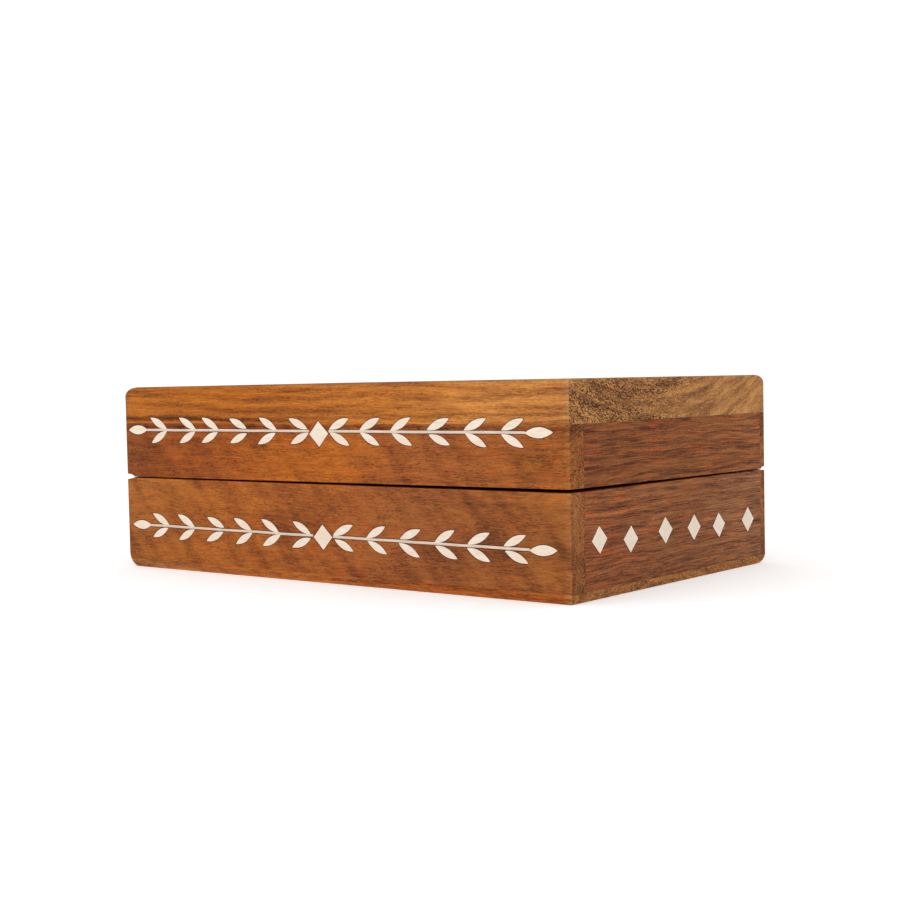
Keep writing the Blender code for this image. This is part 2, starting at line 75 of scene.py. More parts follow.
# Where the blanks of the boards run, before they are sanded: across, deep and high
WIDE = (LEFT - PAST, RIGHT + PAST)
DEEP = (FRONT - PAST, BACK + PAST)
FRONT_DEEP = (FRONT - PAST, FRONT_JOINT - JOINT)
BACK_DEEP = (BACK_INNER, BACK + PAST)
SIDE_DEEP = (FRONT_JOINT + JOINT, BACK_JOINT - JOINT)
LEFT_WIDE = (LEFT - PAST, LEFT_INNER)
RIGHT_WIDE = (RIGHT_INNER, RIGHT + PAST)
FLOOR_HIGH = (UNDERSIDE - PAST, FLOOR_JOINT - JOINT)
BASE_HIGH = (FLOOR_JOINT + JOINT, BASE_TOP + PAST)
LID_HIGH = (LID_LOW - PAST, SLAB_JOINT - JOINT)
SLAB_HIGH = (SLAB_JOINT + JOINT, TOP + PAST)

# The outside of each sanded block
OUTSIDE = {
    "base": ((LEFT, FRONT, UNDERSIDE), (RIGHT, BACK, BASE_TOP)),
    "lid": ((LEFT, FRONT, LID_LOW), (RIGHT, BACK, TOP)),
}

# Sanding: how far each edge is worn, as (across the top or underside, up the side)
SQUARE = (0, 0)
CRISP = (0.6 * MM, 0.6 * MM)
FRONT_TOP_ROUND = (1.5 * MM, 1.5 * MM)
WORN_TOP = (7.6 * MM, 4.0 * MM)
WORN_LEFT_FOOT = (6.0 * MM, 6.0 * MM)
WORN_BACK_FOOT = (8.4 * MM, 4.4 * MM)
WORN_STEPS = 10
EASED_EDGE = 0.4 * MM
EASED_STEPS = 4
SANDING_CLEARANCE = 0.01 * MM
# Edges that turn by more than this stay crisp
CREASE = math.radians(35)

# The seam is widest at the near corner and closes towards the hinges
SEAM_LEFT = 0.45 * MM
SEAM_RIGHT = 1.25 * MM
SEAM_BACK = 0.3 * MM
SEAM_MIDDLE = (BASE_TOP + LID_LOW) / 2
# How far the seam's corners are eased along the box, and how high
EASED_FRONT_CORNER = (4.4 * MM, 2.3 * MM)
EASED_BACK_CORNER = (3.0 * MM, 1.6 * MM)

# Hinges
LEAF_CLEARANCE = 0.1 * MM
SCREW_CLEARANCE = 0.05 * MM

# Inlay
BONE_THICKNESS = 1.5 * MM
GLUE_WIDTH = 0.27 * MM
GLUE_BED = 0.25 * MM
GLUE_SUNK = 0.04 * MM
STEM_WIDTH = 1.0 * MM
LEAF_LENGTH = 10.7 * MM
LEAF_WIDTH = 3.0 * MM
LEAF_ANGLE = math.radians(24)
UPPER_LEAF_GAP = 0.1 * MM
LOWER_LEAF_GAP = 0.4 * MM
FIRST_LEAF = 1.3 * MM
LAST_LEAF = 11.8 * MM
LEAF_FULLNESS = 0.84
LEAF_POINTS = 40
LEAST_LOWER_GAP = 0.3
LOWER_LEAF_SLIDE = 0.8 * MM
# Glue reaches further past a leaf's sharp ends than past its sides
TIP_REACH = 1.7
STEM_STEPS = 9
STEM_SWAY = 0.08 * MM
BUD_OVERLAP = 0.6 * MM
BUD_WIDTH = 3.7 * MM
DIAMONDS_IN_A_ROW = 6
# Keeps the draws of leaf sizes and leaf turns apart
OTHER_SEED = 50.0

# Wood: how quickly each kind of mark changes in a millimetre, along the grain, across the rings
# and round them
UNEVEN_RINGS = (0.012, 0.11, 0.02)
STREAK_MARKS = (0.022, 0.45, 0.14)
FIBRE_ACROSS = 2.5
FIBRE_ROUND = 1.9
CURL_MARKS = (0.13, 0.36, 0.36)
HAIR_MARKS = (0.55, 4.0, 3.4)
PORE_MARKS = (0.42, 1.7, 1.6)
PORE_CROWDS = (0.05, 0.3, 0.1)
VESSEL_MARKS = (0.1, 2.9, 1.8)
VESSEL_BANDS = (0.01, 0.38, 0.03)
FIRE_MARKS = (0.09, 0.9, 0.6)
# The same for marks that follow the board rather than its rings
SWAY_MARKS = (0.014, 0.03, 0.03)
FIGURE_MARKS = (0.13, 0.02, 0.024)
HEART_MARKS = 0.012
# How far the rings wander, in ring spacings
RING_WANDER = 2.4
# In millimetres: how the heart line wanders, how wide it is and over what length it fades, and where
# along the board's width its end grain grows calmer
HEART_WANDER = 3.0
HEART_WIDTH = 1.5
HEART_FADE = 35.0
CALM_FROM = -20.0
CALM_TO = 45.0
# Shades that multiply a wood's own tone
DARKEST = (0.26, 0.24, 0.28, 1)
LIGHTEST = (1.55, 1.85, 1.9, 1)
ORANGE = (1.45, 1.0, 0.55, 1)
PORE_SHADE = (0.20, 0.16, 0.18, 1)
# Edges made lighter and cooler: partly rubbed wear, partly a painted highlight
RUB_AND_HIGHLIGHT_SHADE = (1.4, 1.5, 1.6, 1)
# What the polish adds to every tone, as light
SHEEN = 0.011
LEAST_LIGHT = 0.004
# How far out of the board's length a face has to turn before it shows end grain
END_FROM = 0.6
END_TO = 0.9
# Rubbed edges, lighter partly from wear and partly as a painted highlight: how much lighter, how wide in
# millimetres, and how much smoother
RUB_AND_HIGHLIGHT = 0.22
RUB_AND_HIGHLIGHT_WIDTH = 0.8
RUB_POLISH = 0.08
WOOD_SHINE = 0.2

# Bone, glue and metal
DULL_CREAM = (0.83, 0.69, 0.54, 1)
BRIGHT_CREAM = (0.93, 0.82, 0.69, 1)
SALMON = (0.86, 0.50, 0.33, 1)
BONE_PORE = (0.45, 0.30, 0.2, 1)
BONE_GLOW = (0.0012, 0.0007, 0.0004)
BONE_GLOW_SHARE = 0.08
GLUE_SHINE = 0.1
DARK_GLUE = (0.07, 0.012, 0.005, 1)
THIN_GLUE = (0.17, 0.03, 0.010, 1)

# How quickly their marks change in a metre
BONE_STREAKS = (180.0, 900.0, 900.0)
BONE_PATCHES = (55.0, 90.0, 90.0)
BONE_PORES = (900.0, 3200.0, 3200.0)
GLUE_LUMPS = 1500.0
DRAWN_LINES = (150.0, 6000.0, 6000.0)
METAL_STAINS = 420.0
RUB_AND_HIGHLIGHT_PATCHES = 90.0

# Relief: how strongly a surface's marks show, and how deep they are
WOOD_RELIEF = (0.25, 0.12 * MM)
BONE_RELIEF = (0.15, 0.05 * MM)
GLUE_RELIEF = (0.4, 0.05 * MM)
METAL_RELIEF = (0.1, 0.03 * MM)

# Studio, in metres
FLOOR_REACH = 6.0
SOFTBOX_SIZE = (1.2, 0.8)
SOFTBOX_POWER = 3.0
SOFTBOX_PLACE = (-0.5, -1.3, 0.9)
SOFTBOX_AIM = (0, 0, 0.04)
SKY_STRENGTH = 1.05
LESS_IN_POLISH = 0.75
LESS_IN_SHADE = 0.2
CAMERA_PLACE = (0.40603, -0.49676, 0.07721)
CAMERA_TURN = (38.519, -2.920, -1.1725)
CAMERA_LENS = 60.72
CAMERA_FILM = 36.0
CAMERA_SHIFT = -0.0005


# ---------------------------------------------------------------- node trees


class Tree:
    """A node tree, written with short calls: sockets take another node's output or a plain value."""

    def __init__(self, tree):
        self.tree = tree

    @classmethod
    def group(cls, name, kind, inputs, outputs):
        tree = bpy.data.node_groups.new(name, kind)
        for label, socket, default in inputs:
            made = tree.interface.new_socket(label, in_out="INPUT", socket_type=socket)
            if default is not None:
                made.default_value = default
        for label, socket in outputs:
            tree.interface.new_socket(label, in_out="OUTPUT", socket_type=socket)
        new = cls(tree)
        new.given = tree.nodes.new("NodeGroupInput")
        new.result = tree.nodes.new("NodeGroupOutput")
        return new

    def give(self, socket, value):
        if isinstance(value, bpy.types.NodeSocket):
            self.tree.links.new(value, socket)
        elif value is not None:
            socket.default_value = value

    def node(self, kind, *values, keep=0, inputs=None, **settings):
        """A node, its inputs given in order or by name. It gives back output keep, or itself for None."""
        made = self.tree.nodes.new(kind)
        for name, value in settings.items():
            setattr(made, name, value)
        for i, value in enumerate(values):
            self.give(made.inputs[i], value)
        for name, value in (inputs or {}).items():
            self.give(made.inputs[name], value)
        return made.outputs[keep] if keep is not None else made

    def put(self, label, value):
        self.give(self.result.inputs[label], value)

    def take(self, label):
        return self.given.outputs[label]

    def math(self, operation, *values, clamp=False):
        return self.node("ShaderNodeMath", *values, operation=operation, use_clamp=clamp)

    def vector(self, operation, *values, keep=0):
        return self.node("ShaderNodeVectorMath", *values, operation=operation, keep=keep)

    def parts(self, vector):
        return self.node("ShaderNodeSeparateXYZ", vector, keep=None).outputs

    def joined(self, x=0.0, y=0.0, z=0.0):
        return self.node("ShaderNodeCombineXYZ", x, y, z)

    def noise(self, vector, scale, detail=2.0, roughness=0.5, keep=0):
        return self.node(
            "ShaderNodeTexNoise",
            inputs={"Vector": vector, "Scale": scale, "Detail": detail, "Roughness": roughness},
            keep=keep,
        )

    def ease(self, value, low, high, to_low=0.0, to_high=1.0):
        """value from low..high to to_low..to_high, eased at both ends."""
        return self.node(
            "ShaderNodeMapRange",
            value,
            low,
            high,
            to_low,
            to_high,
            interpolation_type="SMOOTHSTEP",
        )

    def blend(self, share, first, second, how="MIX"):
        made = self.tree.nodes.new("ShaderNodeMix")
        made.data_type = "RGBA"
        made.blend_type = how
        self.give(made.inputs[0], share)
        self.give(made.inputs[6], first)
        self.give(made.inputs[7], second)
        return made.outputs[2]


def hardwood_group():
    """Solid figured hardwood with the grain along X: rings, streaks, fibres, pores and figure."""
    g = Tree.group(
        "hardwood_grain",
        "ShaderNodeTree",
        (
            ("Place", "NodeSocketVector", None),
            ("End", "NodeSocketFloat", 0.0),
            ("Tone", "NodeSocketColor", (0.3, 0.1, 0.03, 1)),
            ("Pith Y", "NodeSocketFloat", 10.0),
            ("Pith Z", "NodeSocketFloat", -40.0),
            ("Sway", "NodeSocketFloat", 5.0),
            ("Ring Spacing", "NodeSocketFloat", 6.0),
            ("Rings", "NodeSocketFloat", 0.15),
            ("Streaks", "NodeSocketFloat", 0.25),
            ("Fibres", "NodeSocketFloat", 0.3),
            ("Fibre Length", "NodeSocketFloat", 6.0),
            ("Curl", "NodeSocketFloat", 0.2),
            ("Figure", "NodeSocketFloat", 0.25),
            ("Figure Turn", "NodeSocketFloat", 0.7),
            ("Pores", "NodeSocketFloat", 0.5),
            ("End Pores", "NodeSocketFloat", 0.8),
            ("Heart Line Z", "NodeSocketFloat", -500.0),
            ("Heart Line", "NodeSocketFloat", 0.0),
            ("Heart End X", "NodeSocketFloat", -20.0),
            ("Back Calm", "NodeSocketFloat", 1.0),
            ("Fire", "NodeSocketFloat", 0.3),
        ),
        (
            ("Colour", "NodeSocketColor"),
            ("Roughness", "NodeSocketFloat"),
            ("Height", "NodeSocketFloat"),
        ),
    )
    place = g.vector("SCALE", g.take("Place"), None, None, 1 / MM)
    sway = g.noise(g.vector("MULTIPLY", place, SWAY_MARKS), 1.0, 2.0, 0.5, keep=1)
    sway = g.vector("SUBTRACT", sway, (0.5, 0.5, 0.5))
    amount = g.joined(0.0, g.take("Sway"), g.take("Sway"))
    x, y, z = g.parts(g.vector("ADD", place, g.vector("MULTIPLY", sway, amount)))
    dy = g.math("SUBTRACT", y, g.take("Pith Y"))
    dz = g.math("SUBTRACT", z, g.take("Pith Z"))
    radius = g.math("SQRT", g.math("ADD", g.math("MULTIPLY", dy, dy), g.math("MULTIPLY", dz, dz)))
    round_way = g.math("MULTIPLY", g.math("ARCTAN2", dz, dy), 100.0)

    def grained(along, across, around):
        return g.joined(
            g.math("MULTIPLY", x, along),
            g.math("MULTIPLY", radius, across),
            g.math("MULTIPLY", round_way, around),
        )

    # Growth rings of uneven width, each fading to a dark edge
    turns = g.math("DIVIDE", radius, g.take("Ring Spacing"))
    uneven = g.noise(grained(*UNEVEN_RINGS), 1.0, 2.0, 0.6)
    turns = g.math("ADD", turns, g.math("MULTIPLY", uneven, RING_WANDER))
    ring = g.math("FRACT", turns)
    ring = g.math("SUBTRACT", g.ease(ring, 0.0, 0.7), g.ease(ring, 0.78, 1.0))
    # Broad streaks, fine fibres, and a curl that breaks both up
    streak = g.ease(g.noise(grained(*STREAK_MARKS), 1.0, 4.0, 0.62), 0.34, 0.66)
    along = g.math("DIVIDE", 1.0, g.take("Fibre Length"))
    fibre = g.ease(g.noise(grained(along, FIBRE_ACROSS, FIBRE_ROUND), 1.0, 2.0, 0.6), 0.38, 0.62)
    curl = g.ease(g.noise(grained(*CURL_MARKS), 1.0, 3.0, 0.65), 0.34, 0.66)
    hair = g.ease(g.noise(grained(*HAIR_MARKS), 1.0, 1.0, 0.5), 0.35, 0.65)
    # Pores: dark dashes along the board, which are dots on its end
    cell = g.node(
        "ShaderNodeTexVoronoi",
        inputs={"Vector": grained(*PORE_MARKS), "Scale": 1.0, "Randomness": 1.0},
        feature="F1",
    )
    crowd = g.ease(g.noise(grained(*PORE_CROWDS), 1.0, 2.0, 0.5), 0.38, 0.62)
    pore_size = g.math("ADD", g.math("MULTIPLY", crowd, 0.3), 0.2)
    pore = g.node("ShaderNodeMapRange", cell, 0.0, pore_size, 1.0, 0.0, interpolation_type="SMOOTHSTEP")
    # The sawn end: open vessels close together, in bands that follow the rings
    mesh = g.ease(g.noise(grained(*VESSEL_MARKS), 1.0, 1.0, 0.5), 0.45, 0.55)
    band = g.ease(g.noise(grained(*VESSEL_BANDS), 1.0, 3.0, 0.6), 0.36, 0.6)
    depth = g.math("ADD", g.math("MULTIPLY", band, 0.5), 0.5)
    calmer = g.ease(y, CALM_FROM, CALM_TO, 1.0, g.take("Back Calm"))
    vessels = g.math("MULTIPLY", g.math("MULTIPLY", mesh, depth), g.take("End Pores"))
    vessels = g.math("MULTIPLY", vessels, calmer)
    vessels = g.math("MULTIPLY", vessels, g.take("End"))
    # Cross figure: soft shadows that lean across the board
    leaning = g.node(
        "ShaderNodeVectorRotate",
        inputs={"Vector": place, "Axis": (0, 1, 0), "Angle": g.take("Figure Turn")},
        rotation_type="AXIS_ANGLE",
    )
    leaning = g.vector("MULTIPLY", leaning, FIGURE_MARKS)
    figure = g.ease(g.noise(leaning, 1.0, 1.5, 0.5), 0.3, 0.64)
    # A dark heart line at one height, wandering and fading along the board
    wander = g.noise(g.joined(g.math("MULTIPLY", x, HEART_MARKS)), 1.0, 2.0)
    wander = g.math("SUBTRACT", wander, 0.5)
    off = g.math("SUBTRACT", g.parts(place)[2], g.take("Heart Line Z"))
    off = g.math("ADD", off, g.math("MULTIPLY", wander, HEART_WANDER))
    line = g.ease(g.math("ABSOLUTE", off), 0.0, HEART_WIDTH, 1.0, 0.0)
    past = g.math("SUBTRACT", g.parts(place)[0], g.take("Heart End X"))
    line = g.math("MULTIPLY", line, g.ease(past, -HEART_FADE, 0.0, 1.0, 0.0))
    line = g.math("MULTIPLY", line, g.take("Heart Line"))
    # All of them together as one tone, from dark to light
    tone = 0.5
    for value, strength in (
        (ring, "Rings"),
        (streak, "Streaks"),
        (fibre, "Fibres"),
        (curl, "Curl"),
        (figure, "Figure"),
    ):
        share = g.math("MULTIPLY", g.math("SUBTRACT", value, 0.5), g.take(strength))
        tone = g.math("ADD", share, tone)
    fine = g.math("MULTIPLY", g.math("SUBTRACT", hair, 0.5), 0.2)
    tone = g.math("SUBTRACT", g.math("ADD", tone, fine), line, clamp=True)
    dark = g.blend(1.0, g.take("Tone"), DARKEST, "MULTIPLY")
    light = g.blend(1.0, g.take("Tone"), LIGHTEST, "MULTIPLY")
    lower = g.blend(g.math("MULTIPLY", tone, 2.0, clamp=True), dark, g.take("Tone"))
    upper = g.math("SUBTRACT", g.math("MULTIPLY", tone, 2.0), 1.0, clamp=True)
    colour = g.blend(upper, lower, light)
    # Orange fire in the fibres
    warm = g.ease(g.noise(grained(*FIRE_MARKS), 1.0, 2.0, 0.6), 0.5, 0.7)
    warm = g.math("MULTIPLY", warm, g.take("Fire"))
    colour = g.blend(warm, colour, g.blend(1.0, colour, ORANGE, "MULTIPLY"))
    pore_share = g.math("MULTIPLY", pore, g.take("Pores"))
    pore_share = g.math("MAXIMUM", pore_share, vessels)
    pore_colour = g.blend(1.0, colour, PORE_SHADE, "MULTIPLY")
    g.put("Colour", g.blend(pore_share, colour, pore_colour))
    rough = g.math("ADD", g.math("MULTIPLY", streak, -0.08), 0.5)
    g.put("Roughness", g.math("ADD", rough, g.math("MULTIPLY", pore_share, 0.2)))
    height = g.math("SUBTRACT", g.math("MULTIPLY", fibre, 0.4), pore_share)
    g.put("Height", g.math("ADD", height, g.math("MULTIPLY", hair, 0.25)))
    return g.tree


def edge_group():
    """How near a point is to an edge of a block: rubbed edges are smoother, and lighter partly from wear and
    partly as a painted highlight.
    """
    g = Tree.group(
        "rubbed_edges",
        "ShaderNodeTree",
        (
            ("Place", "NodeSocketVector", None),
            ("Low", "NodeSocketVector", None),
            ("High", "NodeSocketVector", None),
            ("Width", "NodeSocketFloat", 1.5),
        ),
        (("Rub", "NodeSocketFloat"),),
    )
    low = g.parts(g.vector("SUBTRACT", g.take("Place"), g.take("Low")))
    high = g.parts(g.vector("SUBTRACT", g.take("High"), g.take("Place")))
    a, b, c = (g.math("MINIMUM", low[i], high[i]) for i in range(3))
    smaller = g.math("MINIMUM", a, b)
    larger = g.math("MAXIMUM", a, b)
    middle = g.math("MAXIMUM", smaller, g.math("MINIMUM", larger, c))
    patchy = g.noise(g.take("Place"), RUB_AND_HIGHLIGHT_PATCHES, 3.0, 0.6)
    reach = g.math("MULTIPLY", g.math("MULTIPLY", g.take("Width"), patchy), 2.0 * MM)
    g.put("Rub", g.node("ShaderNodeMapRange", middle, 0.0, reach, 1.0, 0.0, interpolation_type="SMOOTHSTEP"))
    return g.tree


def bone_group():
    """Polished bone: cream, with faint salmon streaks and fine dark pores along its length."""
    g = Tree.group(
        "bone_grain",
        "ShaderNodeTree",
        (("Place", "NodeSocketVector", None), ("Blush", "NodeSocketFloat", 0.5)),
        (
            ("Colour", "NodeSocketColor"),
            ("Roughness", "NodeSocketFloat"),
            ("Height", "NodeSocketFloat"),
        ),
    )
    place = g.take("Place")
    streak = g.noise(g.vector("MULTIPLY", place, BONE_STREAKS), 1.0, 3.0, 0.6)
    patch = g.noise(g.vector("MULTIPLY", place, BONE_PATCHES), 1.0, 2.0, 0.5)
    fine = g.noise(g.vector("MULTIPLY", place, BONE_PORES), 1.0, 2.0, 0.5)
    blush = g.math("MULTIPLY", g.ease(patch, 0.5, 0.72), g.ease(streak, 0.42, 0.62))
    blush = g.math("MULTIPLY", blush, g.take("Blush"))
    cream = g.blend(g.ease(streak, 0.3, 0.7), DULL_CREAM, BRIGHT_CREAM)
    colour = g.blend(blush, cream, SALMON)
    pores = g.ease(fine, 0.66, 0.74)
    g.put("Colour", g.blend(g.math("MULTIPLY", pores, 0.35), colour, BONE_PORE))
    g.put("Roughness", g.ease(streak, 0.3, 0.7, 0.30, 0.42))
    g.put("Height", g.math("SUBTRACT", g.math("MULTIPLY", streak, 0.4), pores))
    return g.tree


def metal_group():
    """Drawn and handled metal: fine lines along X, with patches of tarnish."""
    g = Tree.group(
        "handled_metal",
        "ShaderNodeTree",
        (("Place", "NodeSocketVector", None), ("Tarnish", "NodeSocketFloat", 0.4)),
        (
            ("Bright", "NodeSocketFloat"),
            ("Roughness", "NodeSocketFloat"),
            ("Height", "NodeSocketFloat"),
        ),
    )
    place = g.take("Place")
    lines = g.noise(g.vector("MULTIPLY", place, DRAWN_LINES), 1.0, 2.0, 0.5)
    stain = g.ease(g.noise(place, METAL_STAINS, 4.0, 0.6), 0.4, 0.68)
    stain = g.math("MULTIPLY", stain, g.take("Tarnish"))
    g.put("Bright", g.math("SUBTRACT", g.ease(lines, 0.2, 0.8, 0.85, 1.0), stain))
    g.put("Roughness", g.math("ADD", g.ease(lines, 0.2, 0.8, 0.24, 0.36), g.math("MULTIPLY", stain, 0.4)))
    g.put("Height", lines)
    return g.tree


HARDWOOD = hardwood_group()
RUB_AND_HIGHLIGHT_EDGES = edge_group()
BONE_GRAIN = bone_group()
METAL = metal_group()


def new_material(name):
    """A material and its tree, which holds one Principled BSDF."""
    material = bpy.data.materials.new(name)
    material.use_nodes = True
    m = Tree(material.node_tree)
    m.shader = m.tree.nodes["Principled BSDF"]
    return material, m


def use_group(m, group, values):
    """A shared node group with this material's own values."""
    made = m.tree.nodes.new("ShaderNodeGroup")
    made.node_tree = group
    for name, value in values.items():
        m.give(made.inputs[name], value)
    return made.outputs


def bump(m, height, relief):
    strength, distance = relief
    made = m.node(
        "ShaderNodeBump",
        inputs={"Strength": strength, "Distance": distance, "Height": height},
    )
    m.give(m.shader.inputs["Normal"], made)


def wood_finish(name, grain, zones, shift, wood, low, high):
    """A board's finish. grain is the axis it runs along, zones its tones from end to end."""
    material, m = new_material(name)
    place = m.node("ShaderNodeTexCoord", keep=3)
    turn = (0, 0, math.pi / 2) if grain == "Y" else (0, 0, 0)
    laid = m.node("ShaderNodeMapping", inputs={"Vector": place, "Rotation": turn, "Location": shift})
    run = m.parts(place)[1 if grain == "Y" else 0]
    ends = (FRONT, BACK) if grain == "Y" else (LEFT, RIGHT)
    share = m.node("ShaderNodeMapRange", run, *ends)
    ramp = m.node("ShaderNodeValToRGB", share, keep=None)
    stops = ramp.color_ramp.elements
    ramp.color_ramp.interpolation = "EASE"
    for i, (at, tone) in enumerate(zones):
        stop = stops[i] if i < 2 else stops.new(at)
        stop.position = at
        stop.color = (*tone, 1)
    facing = m.parts(m.node("ShaderNodeTexCoord", keep=1))[1 if grain == "Y" else 0]
    end = m.ease(m.math("ABSOLUTE", facing), END_FROM, END_TO)
    out = use_group(m, HARDWOOD, {"Place": laid, "End": end, "Tone": ramp.outputs[0], **wood})
    colour = out["Colour"]
    roughness = out["Roughness"]
    block_size = {"Low": low, "High": high, "Width": RUB_AND_HIGHLIGHT_WIDTH}
    edge = use_group(m, RUB_AND_HIGHLIGHT_EDGES, {"Place": place, **block_size})["Rub"]
    # Painted highlight and rubbed wear: the edges are lightened and cooled
    rubbed_and_highlit = m.blend(1.0, colour, RUB_AND_HIGHLIGHT_SHADE, "MULTIPLY")
    colour = m.blend(m.math("MULTIPLY", edge, RUB_AND_HIGHLIGHT), colour, rubbed_and_highlit)
    roughness = m.math("SUBTRACT", roughness, m.math("MULTIPLY", edge, RUB_POLISH))
    m.give(m.shader.inputs["Base Color"], colour)
    m.give(m.shader.inputs["Roughness"], roughness)
    m.shader.inputs["Specular IOR Level"].default_value = WOOD_SHINE
    bump(m, out["Height"], WOOD_RELIEF)
    return material


def bone_finish(name, blush, shade):
    """Bone with a share of salmon blush. shade multiplies its cream."""
    material, m = new_material(name)
    place = m.node("ShaderNodeTexCoord", keep=3)
    out = use_group(m, BONE_GRAIN, {"Place": place, "Blush": blush})
    m.give(m.shader.inputs["Base Color"], m.blend(1.0, out["Colour"], (*shade, 1), "MULTIPLY"))
    m.give(m.shader.inputs["Roughness"], out["Roughness"])
    m.shader.inputs["Subsurface Weight"].default_value = BONE_GLOW_SHARE
    m.shader.inputs["Subsurface Radius"].default_value = BONE_GLOW
    bump(m, out["Height"], BONE_RELIEF)
    return material


def glue_finish():
    """Red-brown glue, lumpy where it was wiped."""
    material, m = new_material("dark_glue")
    place = m.node("ShaderNodeTexCoord", keep=3)
    lumps = m.noise(place, GLUE_LUMPS, 3.0, 0.6)
    colour = m.blend(m.ease(lumps, 0.3, 0.7), DARK_GLUE, THIN_GLUE)
    m.give(m.shader.inputs["Base Color"], colour)
    m.give(m.shader.inputs["Roughness"], m.ease(lumps, 0.3, 0.7, 0.45, 0.7))
    m.shader.inputs["Specular IOR Level"].default_value = GLUE_SHINE
    bump(m, lumps, GLUE_RELIEF)
    return material


def metal_finish(name, colour, dull, tarnish):
    """Metal of one colour that goes to a dull one where it is tarnished."""
    material, m = new_material(name)
    place = m.node("ShaderNodeTexCoord", keep=3)
    out = use_group(m, METAL, {"Place": place, "Tarnish": tarnish})
    m.give(m.shader.inputs["Base Color"], m.blend(out["Bright"], dull, colour))
    m.give(m.shader.inputs["Roughness"], out["Roughness"])
    m.shader.inputs["Metallic"].default_value = 1.0
    bump(m, out["Height"], METAL_RELIEF)
    return material


def tone(red, green, blue):
    """A finish colour as the eye names it, 0 to 255, as light, less what the polish adds to it."""
    made = []
    for value in (red, green, blue):
        v = value / 255
        light = v / 12.92 if v <= 0.04045 else ((v + 0.055) / 1.055) ** 2.4
        made.append(max(light - SHEEN, LEAST_LIGHT))
    return tuple(made)


# ---------------------------------------------------------------- shapes


def block(low, high):
    """A plain box between two corners."""
    shape = bmesh.new()
    low = Vector(low)
    high = Vector(high)
    place = Matrix.Translation((low + high) / 2) @ Matrix.Diagonal((*(high - low), 1))
    bmesh.ops.create_cube(shape, size=1.0, matrix=place)
    return shape


def to_object(name, shape):
    mesh = bpy.data.meshes.new(name)
    shape.to_mesh(mesh)
    shape.free()
    made = bpy.data.objects.new(name, mesh)
    bpy.context.scene.collection.objects.link(made)
    return made


def finished(source, name=None):
    """A plain copy of an object with its modifiers worked in. The source is removed."""
    bpy.context.view_layer.update()
    graph = bpy.context.evaluated_depsgraph_get()
    mesh = bpy.data.meshes.new_from_object(
        source.evaluated_get(graph), preserve_all_data_layers=True, depsgraph=graph
    )
    name = name or source.name
    old = source.data
    bpy.data.objects.remove(source)
    if isinstance(old, bpy.types.Mesh) and not old.users:
        bpy.data.meshes.remove(old)
    mesh.name = name
    made = bpy.data.objects.new(name, mesh)
    bpy.context.scene.collection.objects.link(made)
    return made


def boolean(piece, other, operation):
    modifier = piece.modifiers.new(operation.lower(), "BOOLEAN")
    modifier.operation = operation
    modifier.solver = "EXACT"
    modifier.object = other


def lofted(name, loops):
    """A closed body through matching loops of points, with both ends capped."""
    shape = bmesh.new()
    rings = [[shape.verts.new(point) for point in loop] for loop in loops]
    shape.faces.new(rings[0])
    shape.faces.new(rings[-1][::-1])
    for near, far in zip(rings, rings[1:]):
        for i in range(len(near)):
            j = (i + 1) % len(near)
            shape.faces.new((near[i], far[i], far[j], near[j]))
    bmesh.ops.recalc_face_normals(shape, faces=shape.faces)
    return to_object(name, shape)


def worn_outline(low, high, corners):
    """A rectangle whose corners are worn back, from the lower left one anticlockwise."""
    places = (
        (low[0], low[1], 1, 1),
        (high[0], low[1], -1, 1),
        (high[0], high[1], -1, -1),
        (low[0], high[1], 1, -1),
    )
    outline = []
    for number, (u, v, way_u, way_v) in enumerate(places):
        across, up = corners[number]
        steps = WORN_STEPS if across else 0
        for step in range(steps + 1):
            turn = math.radians(180 + 90 * (number + step / WORN_STEPS))
            at_u = u + way_u * across + across * math.cos(turn)
            at_v = v + way_v * up + up * math.sin(turn)
            outline.append((at_u, at_v))
    return outline


def shrunk(outline, distance):
    """An anticlockwise outline moved inwards all round."""
    points = [Vector(p) for p in outline]
    moved = []
    for i, point in enumerate(points):
        before = (point - points[i - 1]).normalized()
        after = (points[(i + 1) % len(points)] - point).normalized()
        inward = Vector((-before.y - after.y, before.x + after.x))
        moved.append(point + inward * distance / (1 + before.dot(after)))
    return moved


def sanded_form(name, low, high, front_corners, side_corners):
    """A glued-up block's outer form: its front outline with eased rims, worn as seen from the side."""
    low = Vector(low)
    high = Vector(high)
    outline = worn_outline((low.x, low.z), (high.x, high.z), front_corners)
    rims = []
    for step in range(EASED_STEPS + 1):
        turn = math.radians(90) * step / EASED_STEPS
        rims.append((EASED_EDGE * (1 - math.cos(turn)), EASED_EDGE * (1 - math.sin(turn))))
    near = [(low.y + depth, inset) for depth, inset in rims]
    far = [(high.y - depth, inset) for depth, inset in reversed(rims)]
    loops = [[(x, y, z) for x, z in shrunk(outline, inset)] for y, inset in near + far]
    form = lofted(name, loops)
    side_low = (low.y - SANDING_CLEARANCE, low.z - SANDING_CLEARANCE)
    side_high = (high.y + SANDING_CLEARANCE, high.z + SANDING_CLEARANCE)
    side = worn_outline(side_low, side_high, side_corners)
    ends = (low.x - PAST, high.x + PAST)
    worn = lofted(name + "_side", [[(x, y, z) for y, z in side] for x in ends])
    boolean(form, worn, "INTERSECT")
    form = finished(form)
    bpy.data.objects.remove(worn)
    return form


def eased_corner(x, y, reach, height):
    """A lens-shaped cutter that eases the seam where it meets an upright corner."""
    shape = bmesh.new()
    radii = (reach, reach, height / 2)
    place = Matrix.Translation((x, y, SEAM_MIDDLE)) @ Matrix.Diagonal((*radii, 1))
    bmesh.ops.create_uvsphere(shape, u_segments=32, v_segments=16, radius=1.0, matrix=place)
    return to_object("eased_corner", shape)


